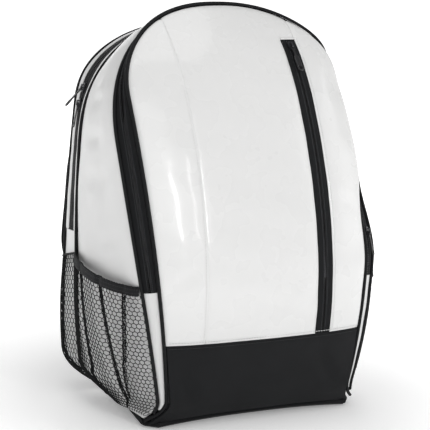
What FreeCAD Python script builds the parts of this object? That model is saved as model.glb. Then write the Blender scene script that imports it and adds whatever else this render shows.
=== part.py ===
"""Racket backpack: a soft bag with an arched front flap, a racket compartment behind it, a main
compartment, two net side pockets, padded shoulder straps and a haul loop.

Millimetres, +Z up, the front faces -Y, X = 0 is the plane of symmetry and the origin is the middle of
the base on the ground. Four sewn seams run up the left leg, over the top and down the right leg:
front (flap edge), second (front gusset to side panel), third (side panel to rear gusset) and back.
Every fabric piece lies between two of them, so its size follows the seams.
"""
import FreeCAD, Part
import Sketcher
import copy
import math
import os
from FreeCAD import Placement, Rotation, Vector

os.makedirs("parts", exist_ok=True)
doc = FreeCAD.newDocument("racket_backpack")

# ---------------------------------------------------------------- driving dimensions

SIZES = (
    ("bag_height", 470.0, "ground to the top of the front seam"),
    ("bag_width", 341.0, "widest place, across the second seam"),
    ("base_depth", 189.6, "front seam to back seam at the base"),
    ("base_lift", 7.0, "height of the base tray, where the seams start"),
    # how far each seam's top lies under the front seam's, how tall its arch is, how far it lies inside
    # the widest place, how much narrower its foot is, its bow in side view
    ("front_drop", 0.0, "front seam: top under the bag's top"),
    ("front_rise", 99.6, "front seam: height of the arch"),
    ("front_inset", 16.8, "front seam: inside the widest place"),
    ("front_taper", 32.1, "front seam: narrower at the base by"),
    ("front_bow", 52.9, "front seam: bow forwards in side view"),
    ("second_drop", 7.3, "second seam: top under the bag's top"),
    ("second_rise", 143.7, "second seam: height of the arch"),
    ("second_inset", 0.0, "second seam: inside the widest place"),
    ("second_taper", 41.6, "second seam: narrower at the base by"),
    ("second_bow", 48.4, "second seam: bow forwards in side view"),
    ("third_drop", 15.5, "third seam: top under the bag's top"),
    ("third_rise", 150.5, "third seam: height of the arch"),
    ("third_inset", 10.2, "third seam: inside the widest place"),
    ("third_taper", 0.5, "third seam: narrower at the base by"),
    ("third_bow", 27.1, "third seam: bow rearwards in side view"),
    ("back_drop", 27.5, "back seam: top under the bag's top"),
    ("back_rise", 98.5, "back seam: height of the arch"),
    ("back_inset", 25.3, "back seam: inside the widest place"),
    ("back_taper", -10.0, "back seam: narrower at the base by"),
    ("back_bow", 27.7, "back seam: bow rearwards in side view"),
    # side view: seam feet behind the front foot, seam tops ahead of the back seam's top
    ("second_step", 3.0, "second seam's foot behind the front seam's"),
    ("third_step", 56.6, "third seam's foot ahead of the back seam's"),
    ("back_lean", 4.2, "back seam's top behind its foot"),
    ("third_top_step", 43.3, "third seam's top ahead of the back seam's"),
    ("second_top_step", 42.0, "second seam's top ahead of the back seam's"),
    ("front_top_step", 54.8, "front seam's top ahead of the back seam's"),
    ("heel_radius", 45.0, "rounding of the rear bottom corners"),
    ("toe_inset", 23.5, "corner where the two front seams meet at the base: inside the widest place"),
    ("toe_back", 16.8, "how far that corner lies behind the front seam's foot"),
    ("base_rounding", 4.0, "rounding under the base tray"),
    ("toe_height", 28.0, "height over which the front seams run into that corner"),
    ("front_crown", 15.6, "how far the front panel stands ahead of its seam"),
    ("crown_height", 200.0, "height over which the crown grows"),
    ("slack_in", 20.0, "how far the slack right shoulder sinks inwards"),
    ("slack_back", 12.0, "how far it sinks rearwards"),
    ("slack_low", 170.0, "slack shoulder: lower end"),
    ("slack_high", 440.0, "slack shoulder: upper end"),
    ("slack_reach", 67.7, "slack shoulder: how far in from the front seam it starts"),
    ("side_swell", 5.0, "how far a side panel stands outside its seams"),
    ("back_swell", 3.0, "how far the back panel stands behind its seam"),
    ("divider_sag", 12.0, "how far the divider hangs into the main compartment"),
    ("cloth", 2.4, "padded outer cloth"),
    ("lining", 1.0, "lining cloth"),
    ("back_foam", 6.0, "foam-filled back panel"),
    ("piping_radius", 1.9, "corded seam piping"),
    ("seat_gap", 0.3, "clearance between neighbouring pieces"),
    ("boot_height", 93.0, "front boot above the seams' start"),
    ("fold_height", 152.0, "fold of the front flap above the seams' start"),
    ("zip_foot", 24.0, "part of the front zip that stays shut, above the fold"),
    ("gusset_foot", 17.0, "lower end of the front gusset"),
    ("main_zip_end", 190.0, "lower ends of the main zip"),
    ("seam_left", 85.0, "left seam of the front panel from the middle"),
    ("zip_out", 86.0, "outer edge of the pocket zip from the middle"),
    ("pocket_zip_width", 21.6, "pocket zip across both tapes"),
    ("pocket_zip_top", 425.0, "top end of the pocket zip"),
    ("pocket_depth", 6.0, "front pocket's lining behind the panel"),
    ("chain_gap", 0.8, "half of the slot between two rows of zip teeth"),
    ("chain_width", 1.4, "one row of zip teeth"),
    ("chain_thick", 1.8, "thickness of the zip teeth"),
    ("tape_thick", 0.8, "zip tape"),
    ("main_tape_half", 12.0, "main zip: half width across the tapes"),
    ("slider_length", 11.0, "zip slider, nose to tail"),
    ("slider_width", 8.0, "zip slider, across"),
    ("slider_plate", 1.3, "slider plate thickness"),
    ("slider_play", 0.45, "slider plates off the teeth"),
    ("pull_length", 30.0, "pull tab"),
    ("pull_eye", 4.9, "opening of a pull tab's eye"),
    ("bridge_half", 3.6, "slider bridge, half length"),
    ("bridge_height", 3.0, "slider bridge above the plate"),
    ("bridge_width", 2.0, "slider bridge across"),
    ("pull_width", 5.0, "pull tab across"),
    ("pull_thick", 1.2, "pull tab thickness"),
    ("net_front_top", 160.0, "net pocket: top at the second seam"),
    ("net_rear_top", 171.0, "net pocket: top at the third seam"),
    ("net_sag", 6.0, "net pocket: dip of its top edge"),
    ("net_bulge", 16.0, "net pocket: room inside"),
    ("net_thick", 1.2, "net"),
    ("binding_height", 11.0, "net pocket's elastic top binding"),
    ("net_foot", 14.0, "lower edge of the net"),
    ("strap_width", 58.0, "shoulder strap pad across"),
    ("strap_thick", 11.0, "shoulder strap pad"),
    ("strap_spread", 50.0, "strap's top from the middle"),
    ("strap_stand", 15.0, "strap's top behind the back panel"),
    ("webbing_width", 25.0, "webbing across"),
    ("webbing_thick", 1.6, "webbing"),
    ("loop_span", 70.0, "haul loop, end to end"),
    ("loop_height", 30.0, "haul loop above its patch"),
    ("board_thick", 2.5, "stiffener in the base"),
    ("pad_thick", 9.0, "back pads"),
    ("lumbar_inset", 78.5, "lumbar pad: inside the widest place"),
)

sheet = doc.addObject("Spreadsheet::Sheet", "Sizes")
sheet.Label = "Sizes"
for row, (name, value, remark) in enumerate(SIZES, 1):
    sheet.set(f"A{row}", name)
    sheet.set(f"B{row}", str(value))
    sheet.set(f"C{row}", remark)
    sheet.setAlias(f"B{row}", name)
doc.recompute()


def size(name):
    """A driving dimension, read from the spreadsheet."""
    return float(sheet.get(name))


CLOTH = size("cloth")
GAP = size("seat_gap")
LIFT = size("base_lift")
EDGE = size("piping_radius") + GAP          # cloth stops here, beside a piped seam
FRONT_FOOT = -size("base_depth") / 2
BACK_FOOT = size("base_depth") / 2
BACK_TOP = BACK_FOOT + size("back_lean")
LEG_SHARE = 0.66                            # share of a seam's height that counts as its leg

# ---------------------------------------------------------------- seams


class Seam:
    """A sewn outline of two legs and an arch. Heights count from the top of the base tray."""

    def __init__(self, name, foot_y, top_y, side, powers, heel=0.0, tuck=0.0):
        self.top = size("bag_height") - LIFT - size(name + "_drop")
        self.rise = size(name + "_rise")
        self.shoulder = self.top - self.rise
        self.full = size("bag_width") / 2 - size(name + "_inset")
        self.taper = size(name + "_taper")
        self.side = side
        self.power_up, self.power_across = powers
        self.heel = heel
        self.tuck = tuck
        self.margin = 0.0
        # the circle through foot and top, with the stated bow
        chord = math.hypot(top_y - foot_y, self.top)
        bow = size(name + "_bow")
        self.radius = (chord ** 2 / 4 + bow ** 2) / (2 * bow)
        reach = (self.radius - bow) / chord
        self.centre_y = (foot_y + top_y) / 2 - side * self.top * reach
        self.centre_z = self.top / 2 + side * (top_y - foot_y) * reach
        self.toe = None

    def profile(self, height):
        """Y of the seam in side view."""
        y = self.centre_y + self.side * math.sqrt(self.radius ** 2 - (height - self.centre_z) ** 2)
        return y - self.heel_inset(height) * self.tuck

    def inset(self, amount):
        """The same outline, drawn in by an amount all round."""
        inner = copy.copy(self)
        inner.margin = amount
        inner.full -= amount
        inner.rise -= amount
        inner.top = inner.shoulder + inner.rise
        if self.toe is not None:
            inner.toe = (self.toe[0] - amount, self.toe[1])
        return inner

    def heel_inset(self, height):
        """How far the rounded rear bottom corner draws the outline in."""
        if height >= self.heel:
            return 0.0
        drop = (self.heel - height) / self.heel
        return self.heel * (1 - math.cos(math.pi / 2 * min(drop, 1.0)))

    def half(self, height):
        """Half width of the outline at a height."""
        if height < self.shoulder:
            grown = math.sin(math.pi / 2 * max(height, 0) / self.shoulder)
            return self.full - self.taper * (1 - grown) - self.heel_inset(height)
        rise = min((height - self.shoulder) / self.rise, 1.0)
        return self.full * (1 - rise ** self.power_up) ** (1 / self.power_across)

    def toe_share(self, height):
        """How far the seam has run towards the front corner of the base."""
        if self.toe is None or height >= size("toe_height"):
            return 0.0
        return (1 - max(height, 0) / size("toe_height")) ** 2

    def reach(self, height):
        """Half width with the run to the front corner."""
        x = self.half(height)
        if self.toe is not None:
            x += (self.toe[0] - self.half(0)) * self.toe_share(height)
        return x

    def at_height(self, height, side):
        """Point of the seam on one side (-1 left, +1 right)."""
        x, y = self.reach(height), self.profile(height)
        if self.toe is not None:
            y += (self.toe[1] - self.profile(0)) * self.toe_share(height)
        if self.margin and height < self.shoulder:
            slope = self.reach(height + 0.5) - self.reach(max(height - 0.5, 0))
            x -= self.margin * (math.hypot(1, slope) - 1)
        return Vector(side * x, y, height + LIFT)

    def height(self, station):
        """Height at a station: 0 at the base, 1 at the top of the leg, 2 at the top of the arch."""
        if station <= 1:
            return self.top * LEG_SHARE * station
        return self.top * (LEG_SHARE + (1 - LEG_SHARE) * math.sin((station - 1) * math.pi / 2))

    def station(self, height):
        share = min(height / self.top, 1.0)
        if share <= LEG_SHARE:
            return share / LEG_SHARE
        return 1 + math.asin((share - LEG_SHARE) / (1 - LEG_SHARE)) * 2 / math.pi

    def point(self, station, side):
        return self.at_height(self.height(station), side)

    def arch_point(self, turn):
        """Point of the whole outline: turn 0 at the left foot, 0.5 at the top, 1 at the right foot."""
        return self.point(2 - abs(4 * turn - 2), -1 if turn < 0.5 else 1)

    def arch_height(self, across):
        """Height of the arch at a distance from the middle."""
        share = min(abs(across) / self.full, 1.0)
        return self.shoulder + self.rise * (1 - share ** self.power_across) ** (1 / self.power_up)


FRONT = Seam("front", FRONT_FOOT, BACK_TOP - size("front_top_step"), -1, (2.01, 2.26))
SECOND = Seam("second", FRONT_FOOT + size("second_step"), BACK_TOP - size("second_top_step"), -1,
              (2.19, 2.12))
THIRD = Seam("third", BACK_FOOT - size("third_step"), BACK_TOP - size("third_top_step"), 1,
             (2.47, 2.27), size("heel_radius"))
BACK = Seam("back", BACK_FOOT, BACK_TOP, 1, (2.41, 2.14), size("heel_radius"), 0.5)
TOE = (size("bag_width") / 2 - size("toe_inset"), FRONT_FOOT + size("toe_back"))
FRONT.toe = TOE
SECOND.toe = TOE

# ---------------------------------------------------------------- surfaces


def front_surface(x, height, behind=0.0):
    """Point on the front of the bag, crowned ahead of the front seam."""
    edge = FRONT.at_height(height, 1).x if height < FRONT.shoulder else FRONT.full
    reach = (abs(x) / edge) ** FRONT.power_across
    if height > FRONT.shoulder:
        reach += ((height - FRONT.shoulder) / FRONT.rise) ** FRONT.power_up
    grown = math.sin(math.pi / 2 * min(height / size("crown_height"), 1.0))
    crown = size("front_crown") * grown * (1 - min(reach, 1.0) ** 1.6)
    corner = (TOE[1] - FRONT.profile(0)) * FRONT.toe_share(height) * (abs(x) / edge) ** 6
    return Vector(x, FRONT.profile(height) - crown + corner + behind, height + LIFT)


def strip_point(first, second, turn, along, swell=0.0):
    """Point on the band between two seams, `along` millimetres from the first."""
    start, end = first.arch_point(turn), second.arch_point(turn)
    span = end - start
    share = along / span.Length
    point = start + span * share
    if swell:
        side = -1 if turn < 0.5 else 1
        lean = point.z / size("bag_height")
        outward = Vector(side * (1 - lean), 0, lean)
        outward.normalize()
        fullness = math.sin(math.pi * min(max(share, 0), 1)) * min(span.Length / 60, 1)
        point += outward * swell * fullness
    return point


def band_length(first, second, turn):
    """Length of the band between two seams at a turn."""
    return (second.arch_point(turn) - first.arch_point(turn)).Length


def ease(share):
    """Smooth step from 0 to 1."""
    share = min(max(share, 0.0), 1.0)
    return share * share * (3 - 2 * share)


def slack(point):
    """The soft bag's right shoulder is less filled: it sinks inwards and rearwards there."""
    height = point.z - LIFT
    reach = 1 - (FRONT.full - point.x) / size("slack_reach")
    reach = min(max(reach, 0.0), 1.0)
    rise = (height - size("slack_low")) / (size("slack_high") - size("slack_low"))
    amount = ease(rise * 3) * ease((1 - rise) * 3.6) * (0.62 + 0.76 * rise * rise)
    amount *= ease((BACK_FOOT - point.y) / 70)
    return point + Vector(-size("slack_in") * ease(reach), size("slack_back") * reach ** 4, 0) * amount


# ---------------------------------------------------------------- solids from surfaces

SOFT = {}


def grid(point, columns, rows):
    return [[point(i / (columns - 1), j / (rows - 1)) for j in range(rows)] for i in range(columns)]


def normal_at(point, u, v):
    step = 0.004
    across = point(min(u + step, 1), v) - point(max(u - step, 0), v)
    along = point(u, min(v + step, 1)) - point(u, max(v - step, 0))
    normal = across.cross(along)
    normal.normalize()
    return normal


def surface_through(points):
    surface = Part.BSplineSurface()
    surface.interpolate(points)
    return surface


def border(surface, index):
    first_u, last_u, first_v, last_v = surface.bounds()
    curves = (lambda: surface.uIso(first_u), lambda: surface.uIso(last_u),
              lambda: surface.vIso(first_v), lambda: surface.vIso(last_v))
    return curves[index]().toShape()


def closed_solid(faces):
    shell = Part.makeShell(faces)
    shell.sewShape()
    solid = Part.makeSolid(shell)
    if solid.Volume < 0:
        solid.reverse()
    return solid


def between(near, far):
    """The solid between two surfaces that have matching borders."""
    faces = [near.toShape(), far.toShape()]
    faces += [Part.makeRuledSurface(border(near, k), border(far, k)) for k in range(4)]
    return closed_solid(faces)


def skin(shape, thickness, inward, columns=9, rows=9, lift=None):
    """A closed sheet: `shape(u, v)` is its outer face, and it is thickened towards `inward`."""

    def point(u, v):
        return slack(shape(u, v))

    sign = 1 if normal_at(point, 0.5, 0.5).dot(inward) > 0 else -1

    def outer(u, v):
        if lift is None:
            return point(u, v)
        return point(u, v) - normal_at(point, u, v) * (sign * lift(u, v))

    def inner(u, v):
        return outer(u, v) + normal_at(point, u, v) * (sign * thickness)

    return between(surface_through(grid(outer, columns, rows)),
                   surface_through(grid(inner, columns, rows)))


def cord(line, radius, stations, corners=6):
    """A round cord along `line(t)`, drawn with a six-sided section."""

    def curve(t):
        return slack(line(t))

    rails = [[] for _ in range(corners)]
    for i in range(stations):
        t = i / (stations - 1)
        tangent = curve(min(t + 0.002, 1)) - curve(max(t - 0.002, 0))
        tangent.normalize()
        level = tangent.cross(Vector(0, 1, 0))
        level.normalize()
        upright = level.cross(tangent)
        for k in range(corners):
            angle = 2 * math.pi * k / corners
            ring = level * (radius * math.cos(angle)) + upright * (radius * math.sin(angle))
            rails[k].append(curve(t) + ring)
    edges = []
    for rail in rails:
        spline = Part.BSplineCurve()
        spline.interpolate(rail)
        edges.append(spline.toShape())
    faces = [Part.makeRuledSurface(edges[k], edges[(k + 1) % corners]) for k in range(corners)]
    for end in (0, -1):
        faces.append(Part.Face(Part.makePolygon([rail[end] for rail in rails] + [rails[0][end]])))
    return closed_solid(faces)


def keep(name, *solids):
    """Put one sub-part's shape, of one or more solids, into the document."""
    shape = solids[0] if len(solids) == 1 else Part.makeCompound(list(solids))
    part = doc.addObject("Part::Feature", name)
    part.Label = name
    part.Shape = shape
    part.Placement = Placement()
    SOFT[name] = part
    return part


def band(first, second, start, end, near, far, thickness, columns=41, sink=0.0, crowd=1.0):
    """A strip of cloth along two seams from turn `start` to `end`. `near` and `far` take the band's
    length and give the strip's edges, in millimetres from the first seam."""

    def point(u, v):
        turn = start + (end - start) * u ** crowd
        length = band_length(first, second, turn)
        along = near(length) + (far(length) - near(length)) * v
        return strip_point(first, second, turn, along)

    middle = point(0.5, 0.5)
    inward = Vector(0, 30, 200) - middle
    return skin(point, thickness, inward, columns, 3, (lambda u, v: -sink) if sink else None)


def turn_at(seam, height, side):
    """Turn of the whole outline at a height on one side."""
    share = (2 - seam.station(height)) / 4
    return 0.5 - share if side < 0 else 0.5 + share


# ---------------------------------------------------------------- front flap and lower front

INNER = FRONT.inset(EDGE)
FOLD = size("fold_height")
BOOT = size("boot_height")
SEAM_LEFT = size("seam_left")
ZIP_OUT = size("zip_out")
ZIP_IN = ZIP_OUT - size("pocket_zip_width")
ZIP_MID = (ZIP_OUT + ZIP_IN) / 2
TEETH_IN = size("chain_gap")
TEETH_OUT = size("chain_gap") + size("chain_width")
TAPE_EDGE = TEETH_OUT + 0.2
TAPE_SINK = (size("chain_thick") - size("tape_thick")) / 2
INTO_BAG = Vector(0, 1, 0)


def front_rows(x_near, x_far, low, high, crowd=1.0):
    """Patch of the front between two edges given as functions of height; rows crowd at its foot."""
    start, end = INNER.station(low), INNER.station(high)

    def point(u, v):
        height = INNER.height(start + (end - start) * v ** crowd)
        return front_surface(x_near(height) + (x_far(height) - x_near(height)) * u, height)

    return point


def front_columns(x_near, x_far, low, high):
    """Patch of the front whose upper edge is a function of the distance from the middle."""

    def point(u, v):
        x = x_near + (x_far - x_near) * u
        return front_surface(x, low + (high(x) - low) * v)

    return point


def height_of_half(seam, half):
    """Height on the arch where the outline is a given half width."""
    low, high = seam.shoulder, seam.top
    for _ in range(40):
        middle = (low + high) / 2
        if seam.half(middle) > half:
            low = middle
        else:
            high = middle
    return low


def inner_half(height):
    """Half width of the front cloth at a height, inside the piping."""
    return INNER.at_height(height, 1).x


half_gap = GAP / 2
left_tip = height_of_half(INNER, SEAM_LEFT + 4)
right_tip = height_of_half(INNER, ZIP_OUT + 4)
keep("flap_panel_left", skin(front_rows(lambda z: -SEAM_LEFT - half_gap, lambda z: -inner_half(z),
                                        FOLD + half_gap, left_tip), CLOTH, INTO_BAG, 5, 15))
keep("flap_panel_right", skin(front_rows(lambda z: ZIP_OUT + half_gap, lambda z: inner_half(z),
                                         FOLD + half_gap, right_tip), CLOTH, INTO_BAG, 5, 15))
keep("flap_panel_centre",
     skin(front_columns(-SEAM_LEFT + half_gap, ZIP_IN - half_gap, FOLD + half_gap, INNER.arch_height),
          CLOTH, INTO_BAG, 9, 13),
     skin(front_columns(ZIP_IN + half_gap, ZIP_OUT - half_gap, size("pocket_zip_top") + GAP,
                        INNER.arch_height), CLOTH, INTO_BAG, 4, 4))
keep("lower_panel_left", skin(front_rows(lambda z: -SEAM_LEFT - half_gap, lambda z: -inner_half(z),
                                         BOOT + half_gap, FOLD - half_gap), CLOTH, INTO_BAG, 5, 5))
keep("lower_panel_centre", skin(front_rows(lambda z: -SEAM_LEFT + half_gap, lambda z: ZIP_IN - half_gap,
                                           BOOT + half_gap, FOLD - half_gap), CLOTH, INTO_BAG, 7, 5))
keep("lower_panel_right", skin(front_rows(lambda z: ZIP_OUT + half_gap, lambda z: inner_half(z),
                                          BOOT + half_gap, FOLD - half_gap), CLOTH, INTO_BAG, 5, 5))


def boot_half(height):
    """Half width of the boot: it keeps a little more room beside the piping round the corner."""
    return inner_half(height) - 1.2 - 3.2 * FRONT.toe_share(height)


keep("front_boot", skin(front_rows(lambda z: -boot_half(z), boot_half,
                                   GAP, BOOT - half_gap, 2.0), CLOTH, INTO_BAG, 17, 13))


def pocket_strip(near, far, low, high, thickness, sink):
    """Part of the pocket zip between two distances from its middle line."""
    point = front_rows(lambda z: ZIP_MID + near, lambda z: ZIP_MID + far, low, high)
    rows = 13 if high > FOLD else 5
    return skin(point, thickness, INTO_BAG, 3, rows, lambda u, v: -sink)


def pocket_tapes(low, high):
    outer = size("pocket_zip_width") / 2 - half_gap
    return [pocket_strip(-outer, -TAPE_EDGE, low, high, size("tape_thick"), TAPE_SINK),
            pocket_strip(TAPE_EDGE, outer, low, high, size("tape_thick"), TAPE_SINK)]


def pocket_teeth(low, high):
    return [pocket_strip(-TEETH_OUT, -TEETH_IN, low, high, size("chain_thick"), 0),
            pocket_strip(TEETH_IN, TEETH_OUT, low, high, size("chain_thick"), 0)]


pocket_top = size("pocket_zip_top") - GAP
keep("pocket_zip_tapes", *pocket_tapes(FOLD + half_gap, pocket_top))
keep("pocket_zip_teeth", *pocket_teeth(FOLD + half_gap, pocket_top))
keep("pocket_zip_lower", *pocket_tapes(BOOT + half_gap, FOLD - half_gap),
     *pocket_teeth(BOOT + half_gap, FOLD - half_gap))

lining_outline = FRONT.inset(9)


def pocket_lining(u, v):
    station = lining_outline.station(FOLD + 6) + (1.93 - lining_outline.station(FOLD + 6)) * v
    height = lining_outline.height(station)
    half = lining_outline.half(height)
    room = (1 - (2 * u - 1) ** 6) * (1 - (2 * v - 1) ** 6)
    return front_surface(half * (2 * u - 1), height, 1.35 * CLOTH + 0.9 + size("pocket_depth") * room)


keep("pocket_lining", skin(pocket_lining, size("lining"), INTO_BAG, 13, 13))


def seam_cord(seam, low, high=None, side=None):
    """Piping on a seam: one leg between two heights, or the whole arch above a height."""
    if high is None:
        start, end, stations = turn_at(seam, low, -1), turn_at(seam, low, 1), 41
    else:
        start, end, stations = turn_at(seam, low, side), turn_at(seam, high, side), 11
    return cord(lambda t: seam.arch_point(start + (end - start) * t), size("piping_radius"), stations)


keep("flap_piping", seam_cord(FRONT, FOLD + half_gap))
keep("front_piping", *[seam_cord(FRONT, EDGE, FOLD - half_gap, side) for side in (-1, 1)])
keep("second_piping", seam_cord(SECOND, size("gusset_foot") - 4))
keep("third_piping", seam_cord(THIRD, EDGE))
keep("back_piping", seam_cord(BACK, EDGE))

# ---------------------------------------------------------------- gussets and their zips


def arch(low, seam=SECOND, margin=0.0):
    return turn_at(seam, low + margin, -1), turn_at(seam, low + margin, 1)


def leg(low, high, side, seam=SECOND):
    return turn_at(seam, low, side), turn_at(seam, high, side)


def flap_tape(start, end, columns=41):
    return band(FRONT, SECOND, start, end, lambda L: EDGE, lambda L: L / 2 - TAPE_EDGE,
                size("tape_thick"), columns, TAPE_SINK)


def flap_teeth(start, end, columns=41):
    return band(FRONT, SECOND, start, end, lambda L: L / 2 - TEETH_OUT,
                lambda L: L / 2 - TEETH_IN, size("chain_thick"), columns)


zip_foot = FOLD + size("zip_foot")
start, end = arch(zip_foot)
keep("flap_zip_tape", flap_tape(start, end))
keep("flap_zip_teeth", flap_teeth(start, end))
start, end = arch(FOLD, margin=half_gap)
feet = [leg(FOLD + half_gap, zip_foot - GAP, side) for side in (-1, 1)]
keep("bag_zip_teeth", band(FRONT, SECOND, start, end, lambda L: L / 2 + TEETH_IN,
                           lambda L: L / 2 + TEETH_OUT, size("chain_thick")),
     *[flap_teeth(low, high, 5) for low, high in feet])
keep("bag_zip_tape", band(FRONT, SECOND, start, end, lambda L: L / 2 + TAPE_EDGE,
                          lambda L: L - EDGE, size("tape_thick"), sink=TAPE_SINK),
     *[flap_tape(low, high, 5) for low, high in feet])
for side, word in ((-1, "left"), (1, "right")):
    start, end = leg(size("gusset_foot"), FOLD - half_gap, side)
    keep(f"lower_gusset_{word}", band(FRONT, SECOND, start, end, lambda L: EDGE,
                                      lambda L: L - EDGE, CLOTH, 9))

zip_start, zip_end = arch(size("main_zip_end"), THIRD)
TAPE_HALF = size("main_tape_half")
keep("main_gusset_front", band(THIRD, BACK, zip_start, zip_end, lambda L: EDGE,
                               lambda L: L / 2 - TAPE_HALF - GAP, CLOTH))
keep("main_zip_tapes",
     band(THIRD, BACK, zip_start, zip_end, lambda L: L / 2 - TAPE_HALF,
          lambda L: L / 2 - TAPE_EDGE, size("tape_thick"), sink=TAPE_SINK),
     band(THIRD, BACK, zip_start, zip_end, lambda L: L / 2 + TAPE_EDGE,
          lambda L: L / 2 + TAPE_HALF, size("tape_thick"), sink=TAPE_SINK))
keep("main_zip_teeth",
     band(THIRD, BACK, zip_start, zip_end, lambda L: L / 2 - TEETH_OUT,
          lambda L: L / 2 - TEETH_IN, size("chain_thick")),
     band(THIRD, BACK, zip_start, zip_end, lambda L: L / 2 + TEETH_IN,
          lambda L: L / 2 + TEETH_OUT, size("chain_thick")))
keep("main_gusset_rear", band(THIRD, BACK, zip_start, zip_end,
                              lambda L: L / 2 + TAPE_HALF + GAP, lambda L: L - EDGE, CLOTH))
for side, word in ((-1, "left"), (1, "right")):
    start, end = leg(GAP, size("main_zip_end") - GAP, side, THIRD)
    keep(f"main_gusset_{word}", band(THIRD, BACK, start, end, lambda L: EDGE + 0.2,
                                     lambda L: L - EDGE - 0.2, CLOTH, 17, crowd=1.6))

# ---------------------------------------------------------------- side panels, divider, back


def toe_room(height):
    """Extra room beside the front corner, where the two front seams run together."""
    return 7.0 * SECOND.toe_share(height)


def side_surface(side, low, high, edge):
    """Patch of a side panel: u runs up the seams, v from the front edge to the rear edge."""
    start, end = turn_at(SECOND, low, side), (turn_at(SECOND, high, side) if high else 0.5 + side * 1e-3)

    def point(u, v):
        turn = start + (end - start) * u
        length = band_length(SECOND, THIRD, turn)
        near = edge + toe_room(SECOND.arch_point(turn).z - LIFT)
        return strip_point(SECOND, THIRD, turn, near + (length - edge - near) * v, size("side_swell"))

    return point


for side, word in ((-1, "left"), (1, "right")):
    patch = side_surface(side, 4.0, None, EDGE + 0.4)
    keep(f"side_panel_{word}", skin(patch, CLOTH, Vector(-side, 0, 0), 31, 7))

divider_outline = SECOND.inset(11)
BACK_INNER = BACK.inset(EDGE + 0.8)


def rows_over(outline, depth, low):
    """Panel across the bag inside an outline; depth(x share, height) shifts it in Y."""
    start = outline.station(low)

    def point(u, v):
        height = outline.height(start + (1.94 - start) * v ** 1.4)
        share = 2 * u - 1
        edge = outline.at_height(height, 1)
        return Vector(edge.x * share, edge.y + depth(share, height / outline.top), height + LIFT)

    return point


def sag(amount):
    return lambda share, up: amount * (1 - abs(share) ** 2.2) * math.sin(math.pi * min(max(up, 0), 1))


keep("divider", skin(rows_over(divider_outline, lambda share, up: sag(size("divider_sag"))(share, up) - 1,
                               16.0), size("lining"), INTO_BAG, 9, 13))
keep("back_panel", skin(rows_over(BACK_INNER, sag(size("back_swell")), GAP), size("back_foam"),
                        Vector(0, -1, 0), 9, 19))


def back_y(x, height):
    """Y of the back panel's outer face."""
    share = x / BACK_INNER.half(height)
    return BACK_INNER.profile(height) + sag(size("back_swell"))(share, height / BACK_INNER.top)


LUMBAR = size("bag_width") / 2 - size("lumbar_inset")    # half width of the lumbar pad


def back_pad(x_near, x_far, low, high):
    """An air-mesh pad on the back panel, thickest in its middle."""

    def inner(u, v):
        x = x_near + (x_far - x_near) * u
        height = low + (high - low) * v
        return Vector(x, back_y(x, height) + GAP, height + LIFT)

    def outer(u, v):
        crown = 0.6 + 0.4 * (1 - (2 * u - 1) ** 2) * (1 - (2 * v - 1) ** 2)
        return inner(u, v) + Vector(0, size("pad_thick") * crown, 0)

    return between(surface_through(grid(outer, 7, 7)), surface_through(grid(inner, 7, 7)))


keep("back_pads", back_pad(-100, -14, 150, 325), back_pad(14, 100, 150, 325),
     back_pad(-LUMBAR, LUMBAR, 62, 138))

# ---------------------------------------------------------------- net side pockets

NET_FOOT = size("net_foot")
BINDING = size("binding_height")


def net_top(across):
    """Top edge of the net pocket above the seams' start, across 0 front to 1 rear."""
    level = size("net_front_top") + (size("net_rear_top") - size("net_front_top")) * across
    return level - size("net_sag") * 4 * across * (1 - across)


def net_point(side):
    def point(u, v):
        height = NET_FOOT + (net_top(u) - NET_FOOT) * v
        turn = turn_at(SECOND, height, side)
        length = band_length(SECOND, THIRD, turn)
        near = EDGE + 1.2 + toe_room(height)
        return strip_point(SECOND, THIRD, turn, near + (length - near - EDGE - 1.2) * u, size("side_swell"))

    return point


def net_lift(u, v):
    """Room between the side panel and the net, plus the net itself."""
    room = math.sin(math.pi * min(max(u, 0), 1)) ** 0.8 * math.sin(math.pi * (0.08 + 0.70 * v))
    return GAP + 0.6 + size("net_thick") + size("net_bulge") * room


def net_share(u, rise):
    """Share of the pocket's height that lies `rise` under its top edge."""
    return 1 - rise / (net_top(u) - NET_FOOT)


for side, word in ((-1, "left"), (1, "right")):
    whole = net_point(side)
    inward = Vector(-side, 0, 0)
    keep(f"net_pocket_{word}",
         skin(lambda u, v: whole(u, v * net_share(u, BINDING + GAP)), size("net_thick"), inward, 11, 11,
              lambda u, v: net_lift(u, v * net_share(u, BINDING + GAP))))
    keep(f"net_binding_{word}",
         skin(lambda u, v: whole(u, 1 - (1 - v) * (1 - net_share(u, BINDING))), 2 * size("net_thick"),
              inward, 11, 3,
              lambda u, v: net_lift(u, 1 - (1 - v) * (1 - net_share(u, BINDING))) + size("net_thick")))

# ---------------------------------------------------------------- straps and haul loop


ROOT_LOW = 345.0                            # lower edge of the straps' sewn ends
TAB_TOP = 74.0                              # upper edge of the webbing tabs
TAB_X = BACK.half(TAB_TOP) - 22


def path_through(points):
    """Smooth path as a function of 0..1."""
    spline = Part.BSplineCurve()
    spline.interpolate([Vector(*point) for point in points])
    first, last = spline.FirstParameter, spline.LastParameter
    return lambda t: spline.value(first + (last - first) * min(max(t, 0), 1))


def strap_path(side):
    """Middle line of a shoulder strap's outer face, from the yoke down to its buckle."""
    stations = ((0, ROOT_LOW - 4, 22), (7, 330, 36), (26, 305, 50), (42, 262, 53), (46, 216, 51),
                (53, 165, 45), (58, 118, 38))
    return path_through([(side * (size("strap_spread") + x), back_y(size("strap_spread") + x, height)
                          + off - 15 + size("strap_stand"), height + LIFT) for x, height, off in stations])


def strip_along(path, half, thickness, columns, rows, inward=Vector(0, -1, 0)):
    """A strap of a given half width along a path, level across."""
    return skin(lambda u, v: path(v) + Vector((2 * u - 1) * half(v), 0, 0), thickness, inward,
                columns, rows)


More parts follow.
